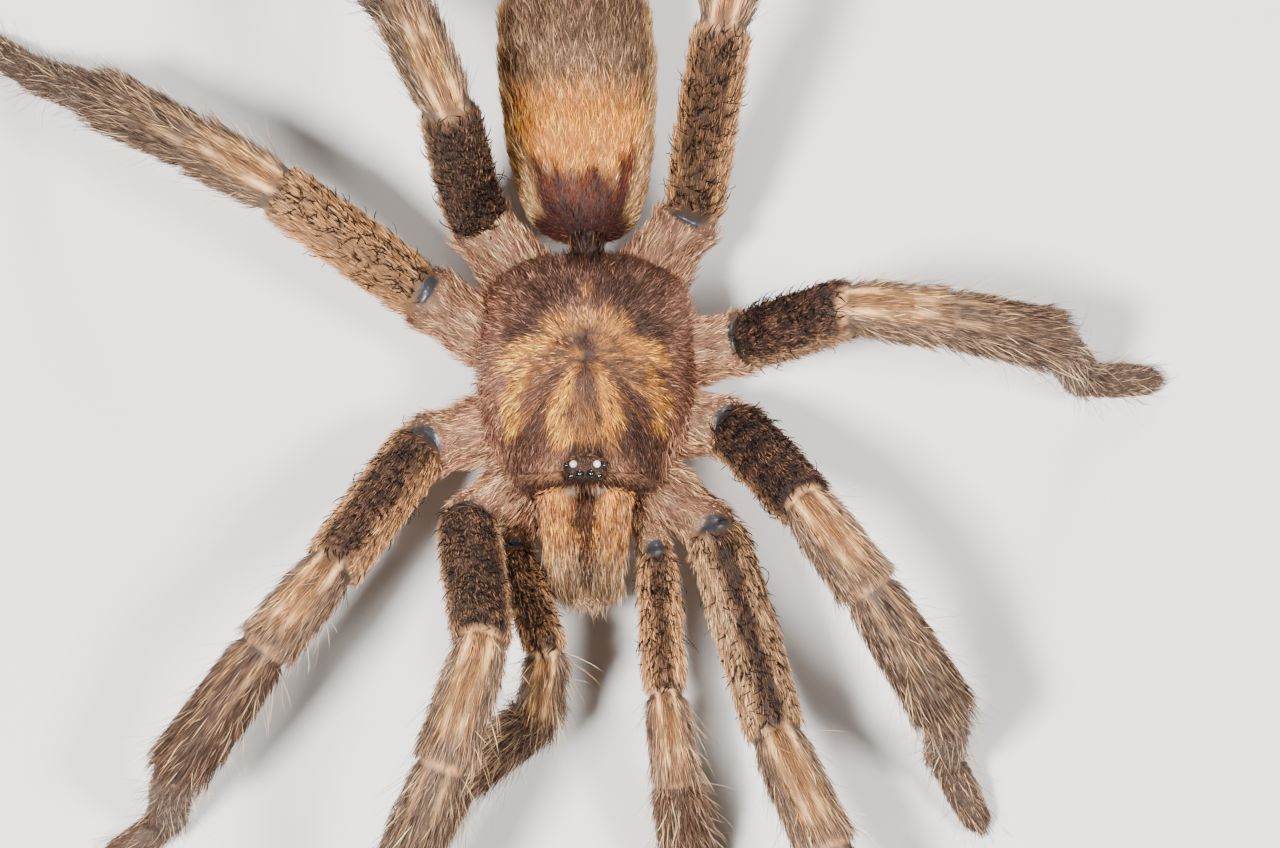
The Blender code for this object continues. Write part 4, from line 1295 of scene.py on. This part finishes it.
def brow_hairs(rng):
    """Dark fringe along the carapace's front edge, over the fang bases. Its dark outer rows are partly
    dark hair, partly painted shadow in the fold under the edge.
    """
    count = 1100
    x = rng.uniform(-3.15, 3.15, count)
    place = rng.random(count)
    y = -6.42 - place * (0.36 + 0.045 * x * x)
    z = 9.68 - 0.36 * place ** 2 - 0.075 * x * x
    # Outer rows dark: partly dark hair, partly painted shadow under the edge.
    dark = ease(0.25, 0.70, place + rng.normal(0, 0.16, count))
    beside = ease(2.9, 1.6, np.abs(x)) * rng.uniform(0.1, 0.9, count)
    pale = mix(mix(MAUVE, BROWN, 0.85), mix(PINK_TAN, TAN, 0.5), 0.6 * beside)
    colour = mix(pale, mix(DARK_TIP, UMBER, rng.random(count)), 0.95 * dark)
    clear = np.abs(x) > 1.05 - 0.2 * place
    aside = np.sign(x) * (0.25 + 0.75 * np.abs(x) / 3) * (1 - 0.65 * place)
    normal = unit(np.column_stack([0.12 * x, -0.35 * place, np.ones(count)]))
    roots = each(count, point=np.column_stack([x, y, z]), normal=normal,
                 flow=np.column_stack([aside, -0.35 - 0.65 * place, -0.15 - 0.5 * place]),
                 place=np.maximum((y - CARAPACE_FRONT) / CARAPACE_LENGTH, EDGE_PLACE),
                 angle=angle_across(x), calm=0.3, length=0.62 - 0.18 * place, lift=12.0,
                 width=0.0155, colour=colour)
    return [grow({key: value[clear | (place > 0.8)] for key, value in roots.items()}, rng)]


def midline_hairs(rng):
    """Hair across the seam between the fang bases, dark above and pale at the tips."""
    count = 1700
    place = rng.random(count) * 0.90
    x = rng.normal(0, 0.30, count)
    y = CARAPACE_FRONT - 0.05 - place * (CHELICERA_LENGTH - 0.15)
    tall = curve(CHELICERA, 2, place) - CHELICERA_COAT
    z = CHELICERA_HEIGHT - CHELICERA_DROP * place ** 1.5 + tall * (0.93 - 0.05 * rng.random(count))
    dark = 1.45 - 0.90 * place - 1.10 * np.abs(x) > rng.random(count)
    tip = mix(GREY_BROWN, CREAM, 0.7 * rng.random(count) ** 4)
    light = mix(mix(TAN, GOLD, 0.4), tip, ease(0.4, 0.7, place))
    deep = mix(BLACKISH * 0.8, mix(BROWN, RUST, 0.35), rng.random(count) ** 2)
    colour = mix(light, deep, 0.97 * dark)
    slope = -1.6 * CHELICERA_DROP * place ** 0.5 / CHELICERA_LENGTH
    roots = each(count, point=np.column_stack([x, y, z]), normal=[0.0, -0.10, 0.99],
                 flow=np.column_stack([0.15 * x, np.full(count, -1.0), slope]),
                 place=place, angle=2.5 - 0.7 * np.clip(x, -0.9, 0.9), calm=0.5,
                 length=0.75 + 0.25 * ease(0.5, 1.0, place), lift=9.0, width=0.0190, colour=colour)
    return [grow(roots, rng, tone=0.5)]


def make_coat(forms, looks, skin, hair):
    """All hair, one piece for each form: a fine short layer, then curved hairs over it."""
    tree = search_tree(skin.data)
    thin = 1
    for number, form in enumerate(forms):
        rng = np.random.default_rng(SEED + number)
        kind = form.name.split("_")[0]
        look = looks[form.name]
        short, curved = (count // thin for count in HAIR_COUNTS[kind])
        roots = scatter(form, look, short, rng, tree, top_bias)
        roots["length"] = roots["length"] * 0.85
        growths = [grow(roots, rng, rings=1, spread=13.0, droop=1.0)]
        if curved:
            roots = scatter(form, look, curved, rng, tree, top_bias)
            roots["width"] = roots["width"] * 1.35
            growths.append(grow(roots, rng, tone=0.46))
        if isinstance(form, Limb):
            growths += limb_bristles(form, look, rng, tree)
        if form.name == "trunk":
            growths += clypeus_bristles(rng) + brow_hairs(rng)
        if kind == "chelicera":
            roots = long_hairs(form, look, 420, rng, tree, lambda place, *rest: ease(0.40, 0.8, place),
                               (1.2, 2.1), (6, 20), 0.017, (mix(CREAM, GREY_TAN, 0.3), GREY_TAN))
            roots["calm"] += 0.6
            growths.append(grow(roots, rng, rings=3, droop=0.5))
        if form.name == "chelicera_left":
            growths += midline_hairs(rng)
        dress(coat_piece(f"coat_{form.name}", growths), hair, COAT_SLOTS[kind])


# ---------------------------------------------------------------- stage
LIGHTS = (      # name, place and size in metres, watts
    ("key", (-0.10, -0.12, 0.30), 0.05, 3.6),
    ("fill", (0.15, -0.09, 0.28), 0.06, 1.7),
    ("rim", (0.05, 0.28, 0.20), 0.10, 0.9),
)
CAMERA_HEIGHT, CAMERA_DISTANCE, CAMERA_TARGET = 72, 290.0, (2.72, -3.8, 9.0)
SENSOR, CAMERA_LENS = 36.0, 36.0 * 5800 / 1280


def make_stage():
    """Pale floor, soft light and the camera."""
    tidy_selection()
    bpy.ops.mesh.primitive_plane_add(size=3.0, location=(0, 0, 0))
    floor = bpy.context.object
    floor.name = "floor"
    material, _, _, shader = new_material("floor", 0.8)
    shader.inputs["Base Color"].default_value = (0.62, 0.60, 0.57, 1)
    floor.data.materials.append(material)

    world = bpy.data.worlds.new("studio")
    bpy.context.scene.world = world
    world.use_nodes = True
    sky = world.node_tree.nodes["Background"]
    sky.inputs["Color"].default_value = (1.0, 0.98, 0.95, 1)
    sky.inputs["Strength"].default_value = 0.20
    for name, place, size, watts in LIGHTS:
        light = bpy.data.lights.new(name, "AREA")
        light.size = size
        light.energy = watts
        lamp = bpy.data.objects.new(name, light)
        bpy.context.scene.collection.objects.link(lamp)
        lamp.location = place
        lamp.rotation_euler = (-Vector(place)).to_track_quat("-Z", "Y").to_euler()

    camera = bpy.data.objects.new("camera", bpy.data.cameras.new("camera"))
    bpy.context.scene.collection.objects.link(camera)
    elevation = math.radians(CAMERA_HEIGHT)
    back = np.array([0, -math.cos(elevation), math.sin(elevation)])
    camera.location = to_frame(CAMERA_TARGET + back * CAMERA_DISTANCE)
    camera.rotation_euler = (math.pi / 2 - elevation, 0, 0)
    camera.data.sensor_width = SENSOR
    camera.data.lens = CAMERA_LENS
    camera.data.clip_start, camera.data.clip_end = 0.01, 10.0
    bpy.context.scene.camera = camera


def main():
    """Build the whole spider and its stage."""
    limbs = make_limbs()
    forms = [Form("trunk", trunk_skin), Form("abdomen", abdomen_skin), Form("mound", mound_skin),
             Form("waist", waist_skin), Form("chelicera_left", chelicera_skin(1)),
             Form("chelicera_right", chelicera_skin(-1)), spinneret_form(1), spinneret_form(-1)]
    looks = {"trunk": trunk_look, "abdomen": abdomen_look, "mound": mound_look, "waist": waist_look,
             "chelicera_left": chelicera_look, "chelicera_right": chelicera_look,
             "spinneret_left": spinneret_look, "spinneret_right": spinneret_look}
    looks.update({name: limb_look(limb) for name, limb in limbs.items()})
    forms += list(limbs.values())
    make_stage()
    skin = make_skin(forms, looks)
    flesh = [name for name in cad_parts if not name.startswith(("eye_", "fang_"))]
    dress(skin, skin_material(), "carapace_coat", *flesh)
    horn = gloss_material("horn", (0.012, 0.006, 0.005), (0.05, 0.018, 0.010), 0.18, 700, 0.6)
    make_eyes()
    make_fangs(horn)
    make_claws(limbs, horn)
    make_coat(forms, looks, skin, hair_material())


main()
